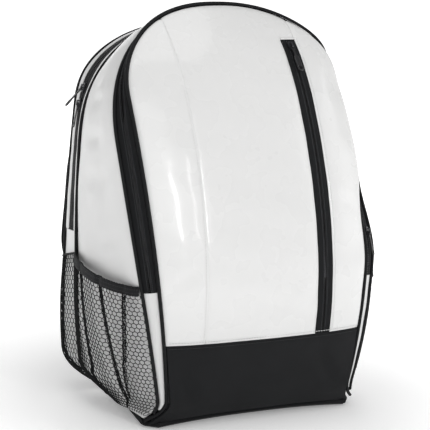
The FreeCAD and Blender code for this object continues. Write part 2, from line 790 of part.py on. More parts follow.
def strap_ends(side):
    """The two sewn ends of a strap: it swings about the line between them."""
    top = Vector(side * size("strap_spread"), back_y(size("strap_spread"), ROOT_LOW) + 17.0
                 - 15 + size("strap_stand"), ROOT_LOW - 2.1 + LIFT)
    foot = Vector(side * TAB_X, back_y(TAB_X, TAB_TOP) + 5.4, TAB_TOP + 1.1 + LIFT)
    return top, foot


def strap_half(v):
    """Half width of the strap pad: narrow where it is sewn on."""
    grown = ease(v / 0.22) * ease((1.12 - v) / 0.3)
    return size("webbing_width") / 2 + (size("strap_width") - size("webbing_width")) / 2 * grown


def stub(tip, towards, radius, length):
    """Short round end of a strap, on the line the strap swings about."""
    run = towards - tip
    run.normalize()
    return Part.makeCylinder(radius, length, tip, run)


for side, word in ((-1, "left"), (1, "right")):
    path = strap_path(side)
    top, foot = strap_ends(side)
    keep(f"strap_pad_{word}", strip_along(path, strap_half, size("strap_thick"), 5, 17),
         stub(top, foot, 3.0, 3.6))

for side, word in ((-1, "left"), (1, "right")):
    low = strap_path(side)(1)
    top, foot = strap_ends(side)
    start = Vector(low.x, low.y - size("strap_thick") / 2 - 1.5 * size("webbing_thick") - GAP, low.z - 15)
    end = foot + (top - foot) * (5 / (top - foot).Length) + Vector(0, size("webbing_thick") / 2, 0)
    run = path_through([start, start + (end - start) * 0.5 + Vector(0, 3, 0), end])
    keep(f"strap_webbing_{word}", strip_along(run, lambda v: size("webbing_width") / 2,
                                              size("webbing_thick"), 3, 7), stub(foot, top, 2.0, 4.2))


def tab(side):
    """Folded cloth tab on the back panel that holds the lower end of the webbing."""

    def point(u, v):
        x, height = TAB_X + 10 - 20 * u, TAB_TOP - 24 * (1 - v)
        return Vector(side * x, back_y(x, height) + GAP + 7.8, height + LIFT)

    return skin(point, 7.0, Vector(0, -1, 0), 3, 4)


def strap_root(side):
    """Folded end of a shoulder strap, sewn on the yoke."""

    def point(u, v):
        x = side * (size("strap_spread") + 15 - 30 * u)
        height = ROOT_LOW + 20 * v
        return Vector(x, back_y(x, height) + size("pad_thick") + 2 * GAP + 13.0, height + LIFT)

    return skin(point, 13.0, Vector(0, -1, 0), 5, 4)


keep("webbing_tabs", tab(-1), tab(1))
keep("strap_yoke", back_pad(-82, 82, ROOT_LOW - 4, ROOT_LOW + 36), strap_root(-1), strap_root(1))

LOOP_TOP = 416.0
LOOP_OFF = GAP + size("webbing_thick") + GAP + 3.2


def loop_curve(t):
    """The haul loop hangs in a U on the back panel."""
    share = 2 * t - 1
    x = size("loop_span") / 2 * math.sin(math.pi / 2 * share)
    height = LOOP_TOP - size("loop_height") * (1 - abs(share) ** 3.2)
    return Vector(x, back_y(x, height) + LOOP_OFF + 0.5, height + LIFT)


keep("haul_loop", cord(loop_curve, 3.2, 17, 8))
keep("haul_patch", skin(lambda u, v: Vector(90 * u - 45, back_y(90 * u - 45, 406 + 14 * v) + GAP
                                            + size("webbing_thick"), 406 + 14 * v + LIFT),
                        size("webbing_thick"), Vector(0, -1, 0), 5, 3))

# ---------------------------------------------------------------- hard pieces

HARD = {}


def linear(*terms):
    """A sum of factors times driving dimensions, as a number and as an expression. A bare number is
    a fixed allowance in millimetres."""
    value, words = 0.0, []
    for term in terms:
        if isinstance(term, tuple):
            factor, name = term
            value += factor * size(name)
            words.append(f"({factor}) * Sizes.{name}")
        else:
            value += term
            words.append(f"({term})")
    return value, " + ".join(words)


def plane(body, role):
    for item in body.Origin.OriginFeatures:
        if item.Role == role:
            return item
    raise ValueError(role)


def outline(body, name, role, level, corners):
    """Closed sketch on one of the body's own planes; each corner is a pair of `linear` sums."""
    sketch = body.newObject("Sketcher::SketchObject", name)
    sketch.AttachmentSupport = [(plane(body, role), "")]
    sketch.MapMode = "FlatFace"
    if level is not None:
        sketch.AttachmentOffset = Placement(Vector(0, 0, level[0]), Rotation())
        sketch.setExpression("AttachmentOffset.Base.z", level[1])
    count = len(corners)
    places = [Vector(x[0], y[0], 0) for x, y in corners]
    for k in range(count):
        sketch.addGeometry(Part.LineSegment(places[k], places[(k + 1) % count]), False)
    for k in range(count):
        sketch.addConstraint(Sketcher.Constraint("Coincident", k, 2, (k + 1) % count, 1))
    for k, (x, y) in enumerate(corners):
        for kind, (value, words) in (("DistanceX", x), ("DistanceY", y)):
            index = sketch.addConstraint(Sketcher.Constraint(kind, -1, 1, k, 1, value))
            sketch.setExpression(f"Constraints[{index}]", words)
    return sketch


def pad(body, name, sketch, length, midplane=False, down=False):
    feature = body.newObject("PartDesign::Pad", name)
    feature.Profile = sketch
    feature.Length = length[0]
    feature.setExpression("Length", length[1])
    feature.Midplane = midplane
    feature.Reversed = down
    sketch.Visibility = False
    return feature


def pocket(body, name, sketch, length):
    feature = body.newObject("PartDesign::Pocket", name)
    feature.Profile = sketch
    feature.Length = length[0]
    feature.setExpression("Length", length[1])
    feature.Midplane = True
    sketch.Visibility = False
    return feature


def mirrored(corners):
    """Corners with y > 0, completed with their mirror images."""
    return corners + [(x, linear_negative(y)) for x, y in reversed(corners)]


def linear_negative(amount):
    return -amount[0], f"-({amount[1]})"


def new_body(name, placement):
    body = doc.addObject("PartDesign::Body", name)
    body.Label = name
    body.Placement = placement
    HARD[name] = body
    return body


NOSE = linear((0.5, "slider_length"))
TAIL = linear((-0.5, "slider_length"))
PLATE_TOP = linear((1, "slider_play"), (1, "slider_plate"))


def slider(name, placement):
    """Zip slider: X is its travel, nose first, Z stands out of the tape and the teeth's outer face
    is at Z = 0. Two plates joined by a post in the slot between the rows of teeth, lips over the
    tape, and a bridge that carries the pull."""
    body = new_body(name, placement)
    shield = mirrored([(NOSE, linear((0.3, "slider_width"))),
                       (linear((0.5, "slider_length"), -2.2), linear((0.5, "slider_width"))),
                       (linear((-0.5, "slider_length"), 2.0), linear((0.42, "slider_width"))),
                       (TAIL, linear((0.3, "slider_width")))])
    sketch = outline(body, name + "_top", "XY_Plane", linear((1, "slider_play")), shield)
    top = pad(body, name + "_top_plate", sketch, linear((1, "slider_plate")))
    blade = [(linear((0.5, "slider_length"), -0.8), linear(0.4)),
             (linear((0.5, "slider_length"), -0.8), linear(-0.4)),
             (linear((0.5, "slider_length"), -3.4), linear(-0.4)),
             (linear((0.5, "slider_length"), -3.4), linear(0.4))]
    sketch = outline(body, name + "_blade", "XY_Plane", linear((1, "slider_play"), 0.2), blade)
    pad(body, name + "_post", sketch, linear((2, "slider_play"), (1, "chain_thick"), 0.4), down=True)
    sketch = outline(body, name + "_bottom", "XY_Plane",
                     linear((-1, "slider_play"), (-1, "chain_thick"), (-1, "slider_plate")), shield)
    pad(body, name + "_bottom_plate", sketch, linear((1, "slider_plate")))
    for word, sign in (("left", 1), ("right", -1)):
        near, far = linear((sign * 0.5, "slider_width"), -sign * 0.75), linear((sign * 0.5, "slider_width"))
        lip = [(linear((0.5, "slider_length"), -2.4), near), (linear((0.5, "slider_length"), -2.4), far),
               (linear((-0.5, "slider_length"), 4.5), far), (linear((-0.5, "slider_length"), 4.5), near)]
        sketch = outline(body, f"{name}_lip_{word}", "XY_Plane", linear((1, "slider_play"), 0.2), lip)
        pad(body, f"{name}_upper_lip_{word}", sketch, linear((1, "slider_play"), 0.2), down=True)
        sketch = outline(body, f"{name}_sole_{word}", "XY_Plane",
                         linear((-1, "slider_play"), (-1, "chain_thick"), -0.2), lip)
        pad(body, f"{name}_lower_lip_{word}", sketch, linear((1, "slider_play"), 0.2))
    half, high = (1, "bridge_half"), (1, "bridge_height")
    foot = linear((1, "slider_play"), (1, "slider_plate"), -0.2)
    roof = linear((1, "slider_play"), (1, "slider_plate"), high)
    under = linear((1, "slider_play"), (1, "slider_plate"), high, -1.2)
    shoulder = linear((1, "slider_play"), (1, "slider_plate"), high, -0.9)
    arch_sketch = [(linear((-1, "bridge_half")), foot), (linear((-1, "bridge_half")), shoulder),
                   (linear((-1, "bridge_half"), 0.9), roof), (linear(half, -0.9), roof),
                   (linear(half), shoulder), (linear(half), foot),
                   (linear(half, -1.2), foot), (linear(half, -1.2), under),
                   (linear((-1, "bridge_half"), 1.2), under), (linear((-1, "bridge_half"), 1.2), foot)]
    sketch = outline(body, name + "_arch", "XZ_Plane", None, arch_sketch)
    pad(body, name + "_bridge", sketch, linear((1, "bridge_width")), midplane=True)
    return body


def pull(name, placement):
    """Pull tab: its eye's cross bar lies on the Y axis, under the slider's bridge, and the tab
    runs along X."""
    body = new_body(name, placement)
    edge = mirrored([(linear(-0.6), linear((0.5, "pull_width"))),
                     (linear((1, "pull_eye"), 1.2), linear((0.5, "pull_width"))),
                     (linear((1, "pull_eye"), 3.4), linear((0.32, "pull_width"))),
                     (linear((1, "pull_length"), -12.0), linear((0.38, "pull_width"))),
                     (linear((1, "pull_length"), -8.0), linear((0.6, "pull_width"))),
                     (linear((1, "pull_length"), -3.0), linear((0.6, "pull_width"))),
                     (linear((1, "pull_length"), -0.6), linear((0.3, "pull_width")))])
    sketch = outline(body, name + "_edge", "XY_Plane", None, edge)
    pad(body, name + "_tab", sketch, linear((1, "pull_thick")), midplane=True)
    arm = linear((0.5, "bridge_width"), 0.4)
    eye = mirrored([(linear(0.6), arm), (linear((1, "pull_eye")), arm)])
    sketch = outline(body, name + "_eye", "XY_Plane", None, eye)
    pocket(body, name + "_eye_cut", sketch, linear((2, "pull_thick")))
    slot = mirrored([(linear((1, "pull_length"), -7.0), linear((0.3, "pull_width"))),
                     (linear((1, "pull_length"), -3.4), linear((0.3, "pull_width")))])
    sketch = outline(body, name + "_hole", "XY_Plane", None, slot)
    pocket(body, name + "_hole_cut", sketch, linear((2, "pull_thick")))
    return body


def frame_at(path, place, ahead, outward):
    """Placement on a zip at `path(place)`: X towards `path(place + ahead)`, Z along `outward`."""
    origin = slack(path(place))
    travel = slack(path(place + ahead)) - slack(path(place - ahead))
    travel.normalize()
    normal = outward - travel * outward.dot(travel)
    normal.normalize()
    across = normal.cross(travel)
    return Placement(origin, Rotation(travel, across, normal, "XYZ"))


def outward_of(strip, height):
    """Outward normal of a zip at a height, from three neighbouring points of its band."""
    low, high = slack(strip(height - 1, 0.5)), slack(strip(height + 1, 0.5))
    near, far = slack(strip(height, 0.4)), slack(strip(height, 0.6))
    normal = (high - low).cross(far - near)
    normal.normalize()
    middle = slack(strip(height, 0.5)) - Vector(0, 20, 200)
    return normal if normal.dot(middle) > 0 else normal * -1


def zip_strip(first, second, side, reference):
    def strip(height, share):
        turn = turn_at(reference, height, side)
        return strip_point(first, second, turn, share * band_length(first, second, turn))

    return strip


def pocket_path(height, share=0.5):
    return front_surface(ZIP_MID + (share - 0.5) * size("pocket_zip_width"), height)


ARCH_ZIP = zip_strip(FRONT, SECOND, 1, SECOND)
MAIN_ZIP = zip_strip(THIRD, BACK, -1, THIRD)
PIN = PLATE_TOP[0] + 0.9

# name, zip, height at rest, last height of the run, nose up (+1) or down (-1), pull hangs towards the
# nose (+1) or tail (-1), pull's angle off the tape
SLIDERS = (
    ("pocket_slider", pocket_path, size("pocket_zip_top") - 8, 362.0, 1, -1, 0.0),
    ("arch_slider_lower", ARCH_ZIP, FOLD + 50, FOLD + 20, 1, -1, 0.0),
    ("arch_slider_upper", ARCH_ZIP, 286.0, 330.0, -1, 1, 0.0),
    ("main_slider_lower", MAIN_ZIP, 344.0, 300.0, 1, -1, 0.0),
    ("main_slider_upper", MAIN_ZIP, 363.0, 398.0, -1, 1, 24.0),
)
JOINTS = {}
for name, strip, rest, last, nose, hang, angle in SLIDERS:
    outward = outward_of(strip, rest)
    seat = frame_at(lambda height: strip(height, 0.5), rest, nose * 1.0, outward)
    slider(name, seat)
    tilt = Rotation(Vector(0, 1, 0), -angle if hang > 0 else 180 + angle)
    hook = seat.multiply(Placement(Vector(0, 0, PIN), tilt))
    pull(name.replace("slider", "pull"), hook)
    run = [slack(strip(rest + (last - rest) * share, 0.5)) for share in (0, 0.5, 1)]
    JOINTS[name] = {"run": run, "seat": seat, "pin": hook.Base, "across": seat.Rotation.multVec(
        Vector(0, 1, 0)), "hang": hang}


def buckle(name, placement):
    """Ladder lock at the lower end of a strap pad: a frame with two slots and three bars."""
    body = new_body(name, placement)
    wide, tall = linear((0.5, "webbing_width"), 4.0), linear(11.0)
    frame = mirrored([(linear(-11.0), linear((0.5, "webbing_width"), 2.0)), (linear(-9.0), wide),
                      (linear(9.0), wide), (tall, linear((0.5, "webbing_width"), 2.0))])
    sketch = outline(body, name + "_frame", "XY_Plane", None, frame)
    pad(body, name + "_plate", sketch, linear((3, "webbing_thick")), midplane=True)
    for word, near, far in (("upper", -7.5, -2.5), ("lower", 1.0, 7.0)):
        slot = mirrored([(linear(near), linear((0.5, "webbing_width"), 0.8)),
                         (linear(far), linear((0.5, "webbing_width"), 0.8))])
        sketch = outline(body, f"{name}_{word}_slot", "XY_Plane", None, slot)
        pocket(body, f"{name}_{word}_cut", sketch, linear((6, "webbing_thick")))
    return body


for side, word in ((-1, "left"), (1, "right")):
    top = strap_path(side)(1)
    centre = Vector(top.x, top.y - size("strap_thick") / 2, top.z - 10.7)
    buckle(f"ladder_lock_{word}", Placement(centre, Rotation(Vector(0, 0, -1), Vector(1, 0, 0),
                                                           Vector(0, 1, 0), "XYZ")))

# ---------------------------------------------------------------- base


def base_outline(inset, front, rear):
    """Corners of the base: toe, side and heel, drawn in by an inset."""
    toe = (0.5, "bag_width"), (-1, "toe_inset")
    half = (0.5, "bag_width")
    heel = (-1, "heel_radius")
    depth = (0.5, "base_depth")
    right = [(linear(*toe, -12.0 - inset), linear((-0.5, "base_depth"), front)),
             (linear(*toe, -2.0 - inset), linear((-0.5, "base_depth"), (1, "toe_back"), -9.0 + front)),
             (linear(*toe, -inset), linear((-0.5, "base_depth"), (1, "toe_back"), front)),
             (linear(half, (-1, "third_inset"), (-1, "third_taper"), heel, -inset),
              linear(depth, (-1, "third_step"))),
             (linear(half, (-1, "back_inset"), (-1, "back_taper"), heel, -inset),
              linear(depth, (-0.5, "heel_radius"), -rear))]
    left = [(linear_negative(x), y) for x, y in reversed(right)]
    return right + left


base = new_body("base_panel", Placement())
sketch = outline(base, "base_outline", "XY_Plane", None, base_outline(0.0, 0.4, -0.6))
pad(base, "base_slab", sketch, linear((1, "base_lift")))
doc.recompute()
rims = [f"Edge{k + 1}" for k, line in enumerate(base.Shape.Edges)
        if all(abs(vertex.Z) < 1e-6 for vertex in line.Vertexes)]
rounding = base.newObject("PartDesign::Fillet", "base_rounding")
rounding.Base = (doc.getObject("base_slab"), rims)
rounding.Radius = size("base_rounding")
rounding.setExpression("Radius", "Sizes.base_rounding")

board = new_body("base_board", Placement())
sketch = outline(board, "board_outline", "XY_Plane", linear((1, "base_lift"), (1, "seat_gap")),
                 base_outline(14.0, 9.0, 9.0))
pad(board, "board_slab", sketch, linear((1, "board_thick")))

# ---------------------------------------------------------------- checks and export

doc.recompute()
broken = [item.Name for item in doc.Objects if "Invalid" in item.State or "Error" in item.State]
if broken:
    raise ValueError(f"features in error: {broken}")
for name, part in list(SOFT.items()) + list(HARD.items()):
    shape = part.Shape
    if shape.isNull() or not shape.isValid() or shape.Volume <= 0:
        raise ValueError(f"bad shape: {name}")
    shape.exportStep(f"parts/{name}.step")
print(len(SOFT) + len(HARD), "pieces")
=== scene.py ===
"""Looks of the racket backpack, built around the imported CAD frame. Lengths are in millimetres until
a mesh is made, in the row frame: +Z up, the front faces -Y, the origin is the middle of the base."""

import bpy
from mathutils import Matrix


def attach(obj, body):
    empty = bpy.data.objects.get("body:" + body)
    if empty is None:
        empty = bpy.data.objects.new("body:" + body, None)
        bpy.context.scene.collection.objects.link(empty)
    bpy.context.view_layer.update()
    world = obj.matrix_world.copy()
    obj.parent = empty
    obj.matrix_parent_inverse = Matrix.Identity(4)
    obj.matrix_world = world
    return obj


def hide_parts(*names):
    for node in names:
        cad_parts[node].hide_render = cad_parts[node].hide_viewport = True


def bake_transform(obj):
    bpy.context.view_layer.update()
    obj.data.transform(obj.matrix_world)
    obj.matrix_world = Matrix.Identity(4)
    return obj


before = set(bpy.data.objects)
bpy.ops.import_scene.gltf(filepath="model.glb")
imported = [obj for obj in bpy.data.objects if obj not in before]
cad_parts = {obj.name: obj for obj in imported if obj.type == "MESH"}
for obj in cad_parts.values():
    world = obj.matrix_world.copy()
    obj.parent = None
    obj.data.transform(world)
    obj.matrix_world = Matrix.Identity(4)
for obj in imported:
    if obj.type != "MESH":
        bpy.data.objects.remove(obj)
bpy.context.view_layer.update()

import copy
import math

import bmesh
import bpy
import numpy as np
from mathutils import Matrix, Vector

MM = 0.001

# ---- driving sizes, as in the CAD model

HEIGHT, WIDTH, DEPTH, LIFT = 470.0, 341.0, 189.6, 7.0
PIPING, GAP = 1.9, 0.3
EDGE = PIPING + GAP
FOLD, BOOT, GUSSET_FOOT = 152.0, 93.0, 17.0
SEAM_LEFT, ZIP_OUT, ZIP_WIDTH, POCKET_TOP = 85.0, 86.0, 21.6, 425.0
ZIP_IN = ZIP_OUT - ZIP_WIDTH
ZIP_MID = ZIP_OUT - ZIP_WIDTH / 2
MAIN_END, TAPE_HALF, TEETH_OUT, COIL_PITCH = 190.0, 12.0, 2.2, 1.9
HEEL, TOE_HEIGHT, LEG_SHARE = 45.0, 28.0, 0.66
CROWN, CROWN_HEIGHT, SIDE_SWELL, BACK_SWELL = 15.6, 200.0, 5.0, 3.0
FRONT_FOOT, BACK_FOOT, BACK_TOP = -DEPTH / 2, DEPTH / 2, DEPTH / 2 + 4.2
TOE = (147.0, FRONT_FOOT + 16.8)
STRAP_WIDTH, STRAP_THICK, WEBBING, WEBBING_THICK = 58.0, 11.0, 25.0, 1.6
STRAP_SPREAD, ROOT_LOW, TAB_TOP = 50.0, 345.0, 74.0
PAD_THICK, LOOP_TOP, LOOP_SPAN, LOOP_HEIGHT = 9.0, 416.0, 70.0, 30.0
BINDING, NET_BULGE, NET_THICK, NET_LOW, NET_TALL = 11.0, 16.0, 1.2, 6.0, 158.0
CLOTH, TAPE_THICK, BUTT = 2.4, 0.8, 0.15
SIDES = ((-1, "left"), (1, "right"))
AHEAD, BEHIND = (0, -1, 0), (0, 1, 0)


def vec(x, y, z):
    """Points from three arrays that broadcast together."""
    return np.stack(np.broadcast_arrays(np.asarray(x, float), y, z), -1)


def unit(vectors):
    return vectors / np.maximum(np.linalg.norm(vectors, axis=-1, keepdims=True), 1e-9)


def ease(share):
    share = np.clip(share, 0, 1)
    return share * share * (3 - 2 * share)


# ---- seams and surfaces


class Seam:
    """A sewn outline of two legs and an arch; heights count from the top of the base tray.

    `drop` and `inset` place it within the bag, `rise` is the arch's height, `taper` narrows its foot,
    and `bow` bends it between its two `ends`, forwards or rearwards by `side`."""

    def __init__(self, drop, rise, inset, taper, bow, side, powers, ends, heel=0.0, tuck=0.0, toe=None):
        foot_y, top_y = ends
        self.top, self.rise = HEIGHT - LIFT - drop, rise
        self.shoulder = self.top - rise
        self.full, self.taper, self.side = WIDTH / 2 - inset, taper, side
        self.power_up, self.power_across = powers
        self.heel, self.tuck, self.margin = heel, tuck, 0.0
        self.has_toe, self.toe = toe is not None, toe or (0.0, 0.0)
        chord = math.hypot(top_y - foot_y, self.top)
        self.radius = (chord ** 2 / 4 + bow ** 2) / (2 * bow)
        reach = (self.radius - bow) / chord
        self.centre_y = (foot_y + top_y) / 2 - side * self.top * reach
        self.centre_z = self.top / 2 + side * (top_y - foot_y) * reach

    def inset_by(self, amount):
        inner = copy.copy(self)
        inner.margin, inner.full, inner.rise = amount, self.full - amount, self.rise - amount
        inner.top = inner.shoulder + inner.rise
        inner.toe = (self.toe[0] - amount, self.toe[1])
        return inner

    def heel_inset(self, height):
        drop = np.clip((self.heel - height) / max(self.heel, 1.0), 0, 1)
        return self.heel * (1 - np.cos(math.pi / 2 * drop))

    def profile(self, height):
        height = np.asarray(height, float)
        root = np.sqrt(self.radius ** 2 - (height - self.centre_z) ** 2)
        return self.centre_y + self.side * root - self.heel_inset(height) * self.tuck

    def half(self, height):
        height = np.asarray(height, float)
        grown = np.sin(math.pi / 2 * np.clip(height, 0, None) / self.shoulder)
        leg = self.full - self.taper * (1 - grown) - self.heel_inset(height)
        rise = np.clip((height - self.shoulder) / self.rise, 0, 1)
        arch = self.full * np.maximum(1 - rise ** self.power_up, 0) ** (1 / self.power_across)
        return np.where(height < self.shoulder, leg, arch)

    def toe_share(self, height):
        return self.has_toe * np.clip(1 - np.clip(height, 0, None) / TOE_HEIGHT, 0, 1) ** 2

    def reach(self, height):
        return self.half(height) + (self.toe[0] - self.half(0.0)) * self.toe_share(height)

    def at_height(self, height, side):
        height = np.asarray(height, float)
        x = self.reach(height)
        y = self.profile(height) + (self.toe[1] - self.profile(0.0)) * self.toe_share(height)
        if self.margin:
            slope = self.reach(height + 0.5) - self.reach(np.maximum(height - 0.5, 0))
            x = x - np.where(height < self.shoulder, self.margin * (np.hypot(1, slope) - 1), 0)
        return vec(side * x, y, height + LIFT)

    def height(self, station):
        """Height at a station: 0 at the foot, 1 where the leg ends, 2 at the crown."""
        arch = LEG_SHARE + (1 - LEG_SHARE) * np.sin((np.clip(station, 1, 2) - 1) * math.pi / 2)
        return self.top * np.where(station <= 1, LEG_SHARE * station, arch)

    def station(self, height):
        share = min(height / self.top, 1.0)
        if share <= LEG_SHARE:
            return share / LEG_SHARE
        return 1 + math.asin((share - LEG_SHARE) / (1 - LEG_SHARE)) * 2 / math.pi

    def arch_point(self, turn):
        """Point on the outline: turn 0 at the left foot, 0.5 at the crown, 1 at the right foot."""
        turn = np.asarray(turn, float)
        return self.at_height(self.height(2 - np.abs(4 * turn - 2)), np.where(turn < 0.5, -1, 1))

    def arch_height(self, across):
        share = np.minimum(np.abs(across) / self.full, 1.0)
        return self.shoulder + self.rise * (1 - share ** self.power_across) ** (1 / self.power_up)

    def turn(self, height, side):
        share = (2 - self.station(height)) / 4
        return 0.5 - share if side < 0 else 0.5 + share


FRONT = Seam(drop=0, rise=99.6, inset=16.8, taper=32.1, bow=52.9, side=-1, powers=(2.01, 2.26),
             ends=(FRONT_FOOT, BACK_TOP - 54.8), toe=TOE)
SECOND = Seam(drop=7.3, rise=143.7, inset=0, taper=41.6, bow=48.4, side=-1, powers=(2.19, 2.12),
              ends=(FRONT_FOOT + 3.0, BACK_TOP - 42.0), toe=TOE)
THIRD = Seam(drop=15.5, rise=150.5, inset=10.2, taper=0.5, bow=27.1, side=1, powers=(2.47, 2.27),
             ends=(BACK_FOOT - 56.6, BACK_TOP - 43.3), heel=HEEL)
BACK = Seam(drop=27.5, rise=98.5, inset=25.3, taper=-10.0, bow=27.7, side=1, powers=(2.41, 2.14),
            ends=(BACK_FOOT, BACK_TOP), heel=HEEL, tuck=0.5)
INNER = FRONT.inset_by(EDGE)
BACK_INNER = BACK.inset_by(EDGE + 0.8)


SLACK_LOW, SLACK_TALL, SLACK_IN, SLACK_BACK, SLACK_FADE = 170.0, 270.0, 20.0, 12.0, 70.0


def slack(point):
    """The right shoulder is less filled: it sinks inwards and rearwards there."""
    reach = np.clip((point[..., 0] - ZIP_OUT) / (FRONT.full - ZIP_OUT), 0, 1)
    rise = (point[..., 2] - LIFT - SLACK_LOW) / SLACK_TALL
    amount = ease(rise * 3) * ease((1 - rise) * 3.6) * (0.62 + 0.76 * rise * rise)
    amount = amount * ease((BACK_FOOT - point[..., 1]) / SLACK_FADE)
    return point + vec(-SLACK_IN * ease(reach) * amount, SLACK_BACK * reach ** 4 * amount, 0)


def front_surface(x, height, behind=0.0):
    """Point on the front of the bag, crowned ahead of the front seam."""
    x, height = np.broadcast_arrays(np.asarray(x, float), np.asarray(height, float))
    edge = np.where(height < FRONT.shoulder, FRONT.reach(height), FRONT.full)
    reach = (np.abs(x) / edge) ** FRONT.power_across
    reach = reach + np.clip((height - FRONT.shoulder) / FRONT.rise, 0, None) ** FRONT.power_up
    grown = np.sin(math.pi / 2 * np.clip(height / CROWN_HEIGHT, 0, 1))
    crown = CROWN * grown * (1 - np.minimum(reach, 1) ** 1.6)
    corner = (TOE[1] - FRONT.profile(0.0)) * FRONT.toe_share(height) * (np.abs(x) / edge) ** 6
    return vec(x, FRONT.profile(height) - crown + corner + behind, height + LIFT)


def strip_point(first, second, turn, along, swell=0.0):
    """Point between two seams, `along` millimetres from the first."""
    start, end = first.arch_point(turn), second.arch_point(turn)
    length = np.linalg.norm(end - start, axis=-1)
    share = along / length
    point = start + (end - start) * share[..., None]
    if swell:
        lean = point[..., 2] / HEIGHT
        outward = unit(vec(np.where(turn < 0.5, -1, 1) * (1 - lean), 0, lean))
        full = np.sin(math.pi * np.clip(share, 0, 1)) * np.minimum(length / 60, 1)
        point = point + outward * (swell * full)[..., None]
    return point


def band_length(first, second, turn):
    return np.linalg.norm(second.arch_point(turn) - first.arch_point(turn), axis=-1)


def inner_half(height):
    return INNER.at_height(height, 1)[..., 0]


def back_y(x, height):
    share = x / BACK_INNER.half(height)
    up = np.clip(height / BACK_INNER.top, 0, 1)
    return BACK_INNER.profile(height) + BACK_SWELL * (1 - np.abs(share) ** 2.2) * np.sin(math.pi * up)


# ---- materials


class Shade:
    """A procedural material: the shader's own sockets for constants, nodes for what varies."""

    def __init__(self, name, color, roughness, metallic=0.0, **sockets):
        self.material = bpy.data.materials.new(name)
        self.material.use_nodes = True
        self.tree = self.material.node_tree
        self.bsdf = self.tree.nodes["Principled BSDF"]
        self.bsdf.inputs["Base Color"].default_value = (*color, 1)
        self.bsdf.inputs["Roughness"].default_value = roughness
        self.bsdf.inputs["Metallic"].default_value = metallic
        for socket, value in sockets.items():
            self.bsdf.inputs[socket.replace("_", " ")].default_value = value
        self.height = None
        coordinates = self.tree.nodes.new("ShaderNodeTexCoord")
        self.uv, self.spot = coordinates.outputs["UV"], coordinates.outputs["Object"]

    def node(self, kind, inputs=(), **settings):
        node = self.tree.nodes.new("ShaderNode" + kind)
        for key, value in settings.items():
            setattr(node, key, value)
        for socket, value in dict(inputs).items():
            if isinstance(value, bpy.types.NodeSocket):
                self.tree.links.new(value, node.inputs[socket])
            else:
                node.inputs[socket].default_value = value
        return node

    def noise(self, scale, detail):
        return self.node("TexNoise", {"Vector": self.spot, "Scale": scale, "Detail": detail}).outputs["Fac"]

    def threads(self, pitch, direction):
        """Parallel threads `pitch` metres apart."""
        inputs = {"Vector": self.uv, "Scale": 0.31416 / pitch, "Distortion": 0.25, "Detail": 1.0,
                  "Detail Scale": 4.0}
        return self.node("TexWave", inputs, wave_type="BANDS", bands_direction=direction,
                         wave_profile="SIN").outputs["Fac"]

    def math(self, operation, first, second):
        return self.node("Math", {0: first, 1: second}, operation=operation).outputs[0]

    def bump(self, height, distance, strength=1.0):
        inputs = {"Height": height, "Distance": distance, "Strength": strength}
        if self.height is not None:
            inputs["Normal"] = self.height
        self.height = self.node("Bump", inputs).outputs["Normal"]
        self.tree.links.new(self.height, self.bsdf.inputs["Normal"])
        return self

    def tint(self, mask, low, high, dark, light):
        """Colour from `dark` to `light` where the mask runs from `low` to `high`."""
        ramp = self.node("ValToRGB", {"Fac": mask})
        for stop, place, color in zip(ramp.color_ramp.elements, (low, high), (dark, light)):
            stop.position, stop.color = place, (*color, 1)
        self.tree.links.new(ramp.outputs["Color"], self.bsdf.inputs["Base Color"])
        return self

    def rough(self, mask, low, high):
        spread = self.node("MapRange", {"Value": mask, "To Min": low, "To Max": high})
        self.tree.links.new(spread.outputs[0], self.bsdf.inputs["Roughness"])
        return self


def shaded(color, factor):
    return tuple(channel * factor for channel in color)


def coated(name, color, roughness, wave, coat=0.55):
    """Coated cloth: fine grain, a slow unevenness of the coat, faint yellowing and scuffs."""
    shade = Shade(name, color, roughness, Coat_Weight=coat, Coat_Roughness=0.09,
                  Specular_IOR_Level=0.45)
    shade.tint(shade.noise(7.0, 1.0), 0.2, 0.8, shaded(color, 0.98), color)
    shade.rough(shade.noise(30.0, 2.0), roughness - 0.02, roughness + 0.05)
    shade.bump(shade.noise(26.0, 2.0), 0.0016, wave)
    return shade.bump(shade.noise(1500.0, 2.0), 0.00012, 0.35).material


DULL = {"Sheen_Weight": 0.02, "Sheen_Roughness": 0.4, "Specular_IOR_Level": 0.25}


def woven(name, color, pitch, roughness=0.8):
    """Plain weave of two sets of threads, a little faded in patches."""
    shade = Shade(name, color, roughness, **DULL)
    warp, weft = shade.threads(pitch, "X"), shade.threads(pitch, "Y")
    weave = shade.math("MULTIPLY", warp, weft)
    cloud = shade.noise(22.0, 4.0)
    mixed = shade.math("ADD", shade.math("MULTIPLY", weave, 0.45), shade.math("MULTIPLY", cloud, 0.6))
    shade.tint(mixed, 0.15, 0.85, shaded(color, 0.72), shaded(color, 1.5))
    return shade.bump(weave, 0.0002, 0.7).bump(cloud, 0.0010, 0.25).material


def ribbed(name, color, pitch, depth=0.0003, roughness=0.72):
    """Webbing or zip tape: ribs across its length, fine threads along it."""
    shade = Shade(name, color, roughness, **DULL)
    fine = shade.math("MULTIPLY", shade.threads(pitch * 0.8, "Y"), 0.6)
    ribs = shade.math("MAXIMUM", shade.threads(pitch, "X"), fine)
    shade.tint(ribs, 0.1, 0.95, shaded(color, 0.6), shaded(color, 1.5))
    return shade.bump(ribs, depth, 0.7).material


def spacer(name, color, pitch):
    """Knitted spacer mesh: rows of small open cells, with painted shade darkening the middle of each cell."""
    shade = Shade(name, color, 0.85, Sheen_Weight=0.03, Sheen_Roughness=0.5, Specular_IOR_Level=0.25)
    cells = shade.node("TexVoronoi", {"Vector": shade.uv, "Scale": 1 / pitch, "Randomness": 0.18},
                       feature="DISTANCE_TO_EDGE").outputs["Distance"]
    # painted shade: the colour falls to about a third of the mesh's colour in the middle of each open cell,
    # and is lighter on the yarn between cells
    shade.tint(cells, 0.06, 0.30, shaded(color, 1.7), shaded(color, 0.35))
    return shade.bump(shade.math("MULTIPLY", cells, -1.0), 0.0012, 0.8).material


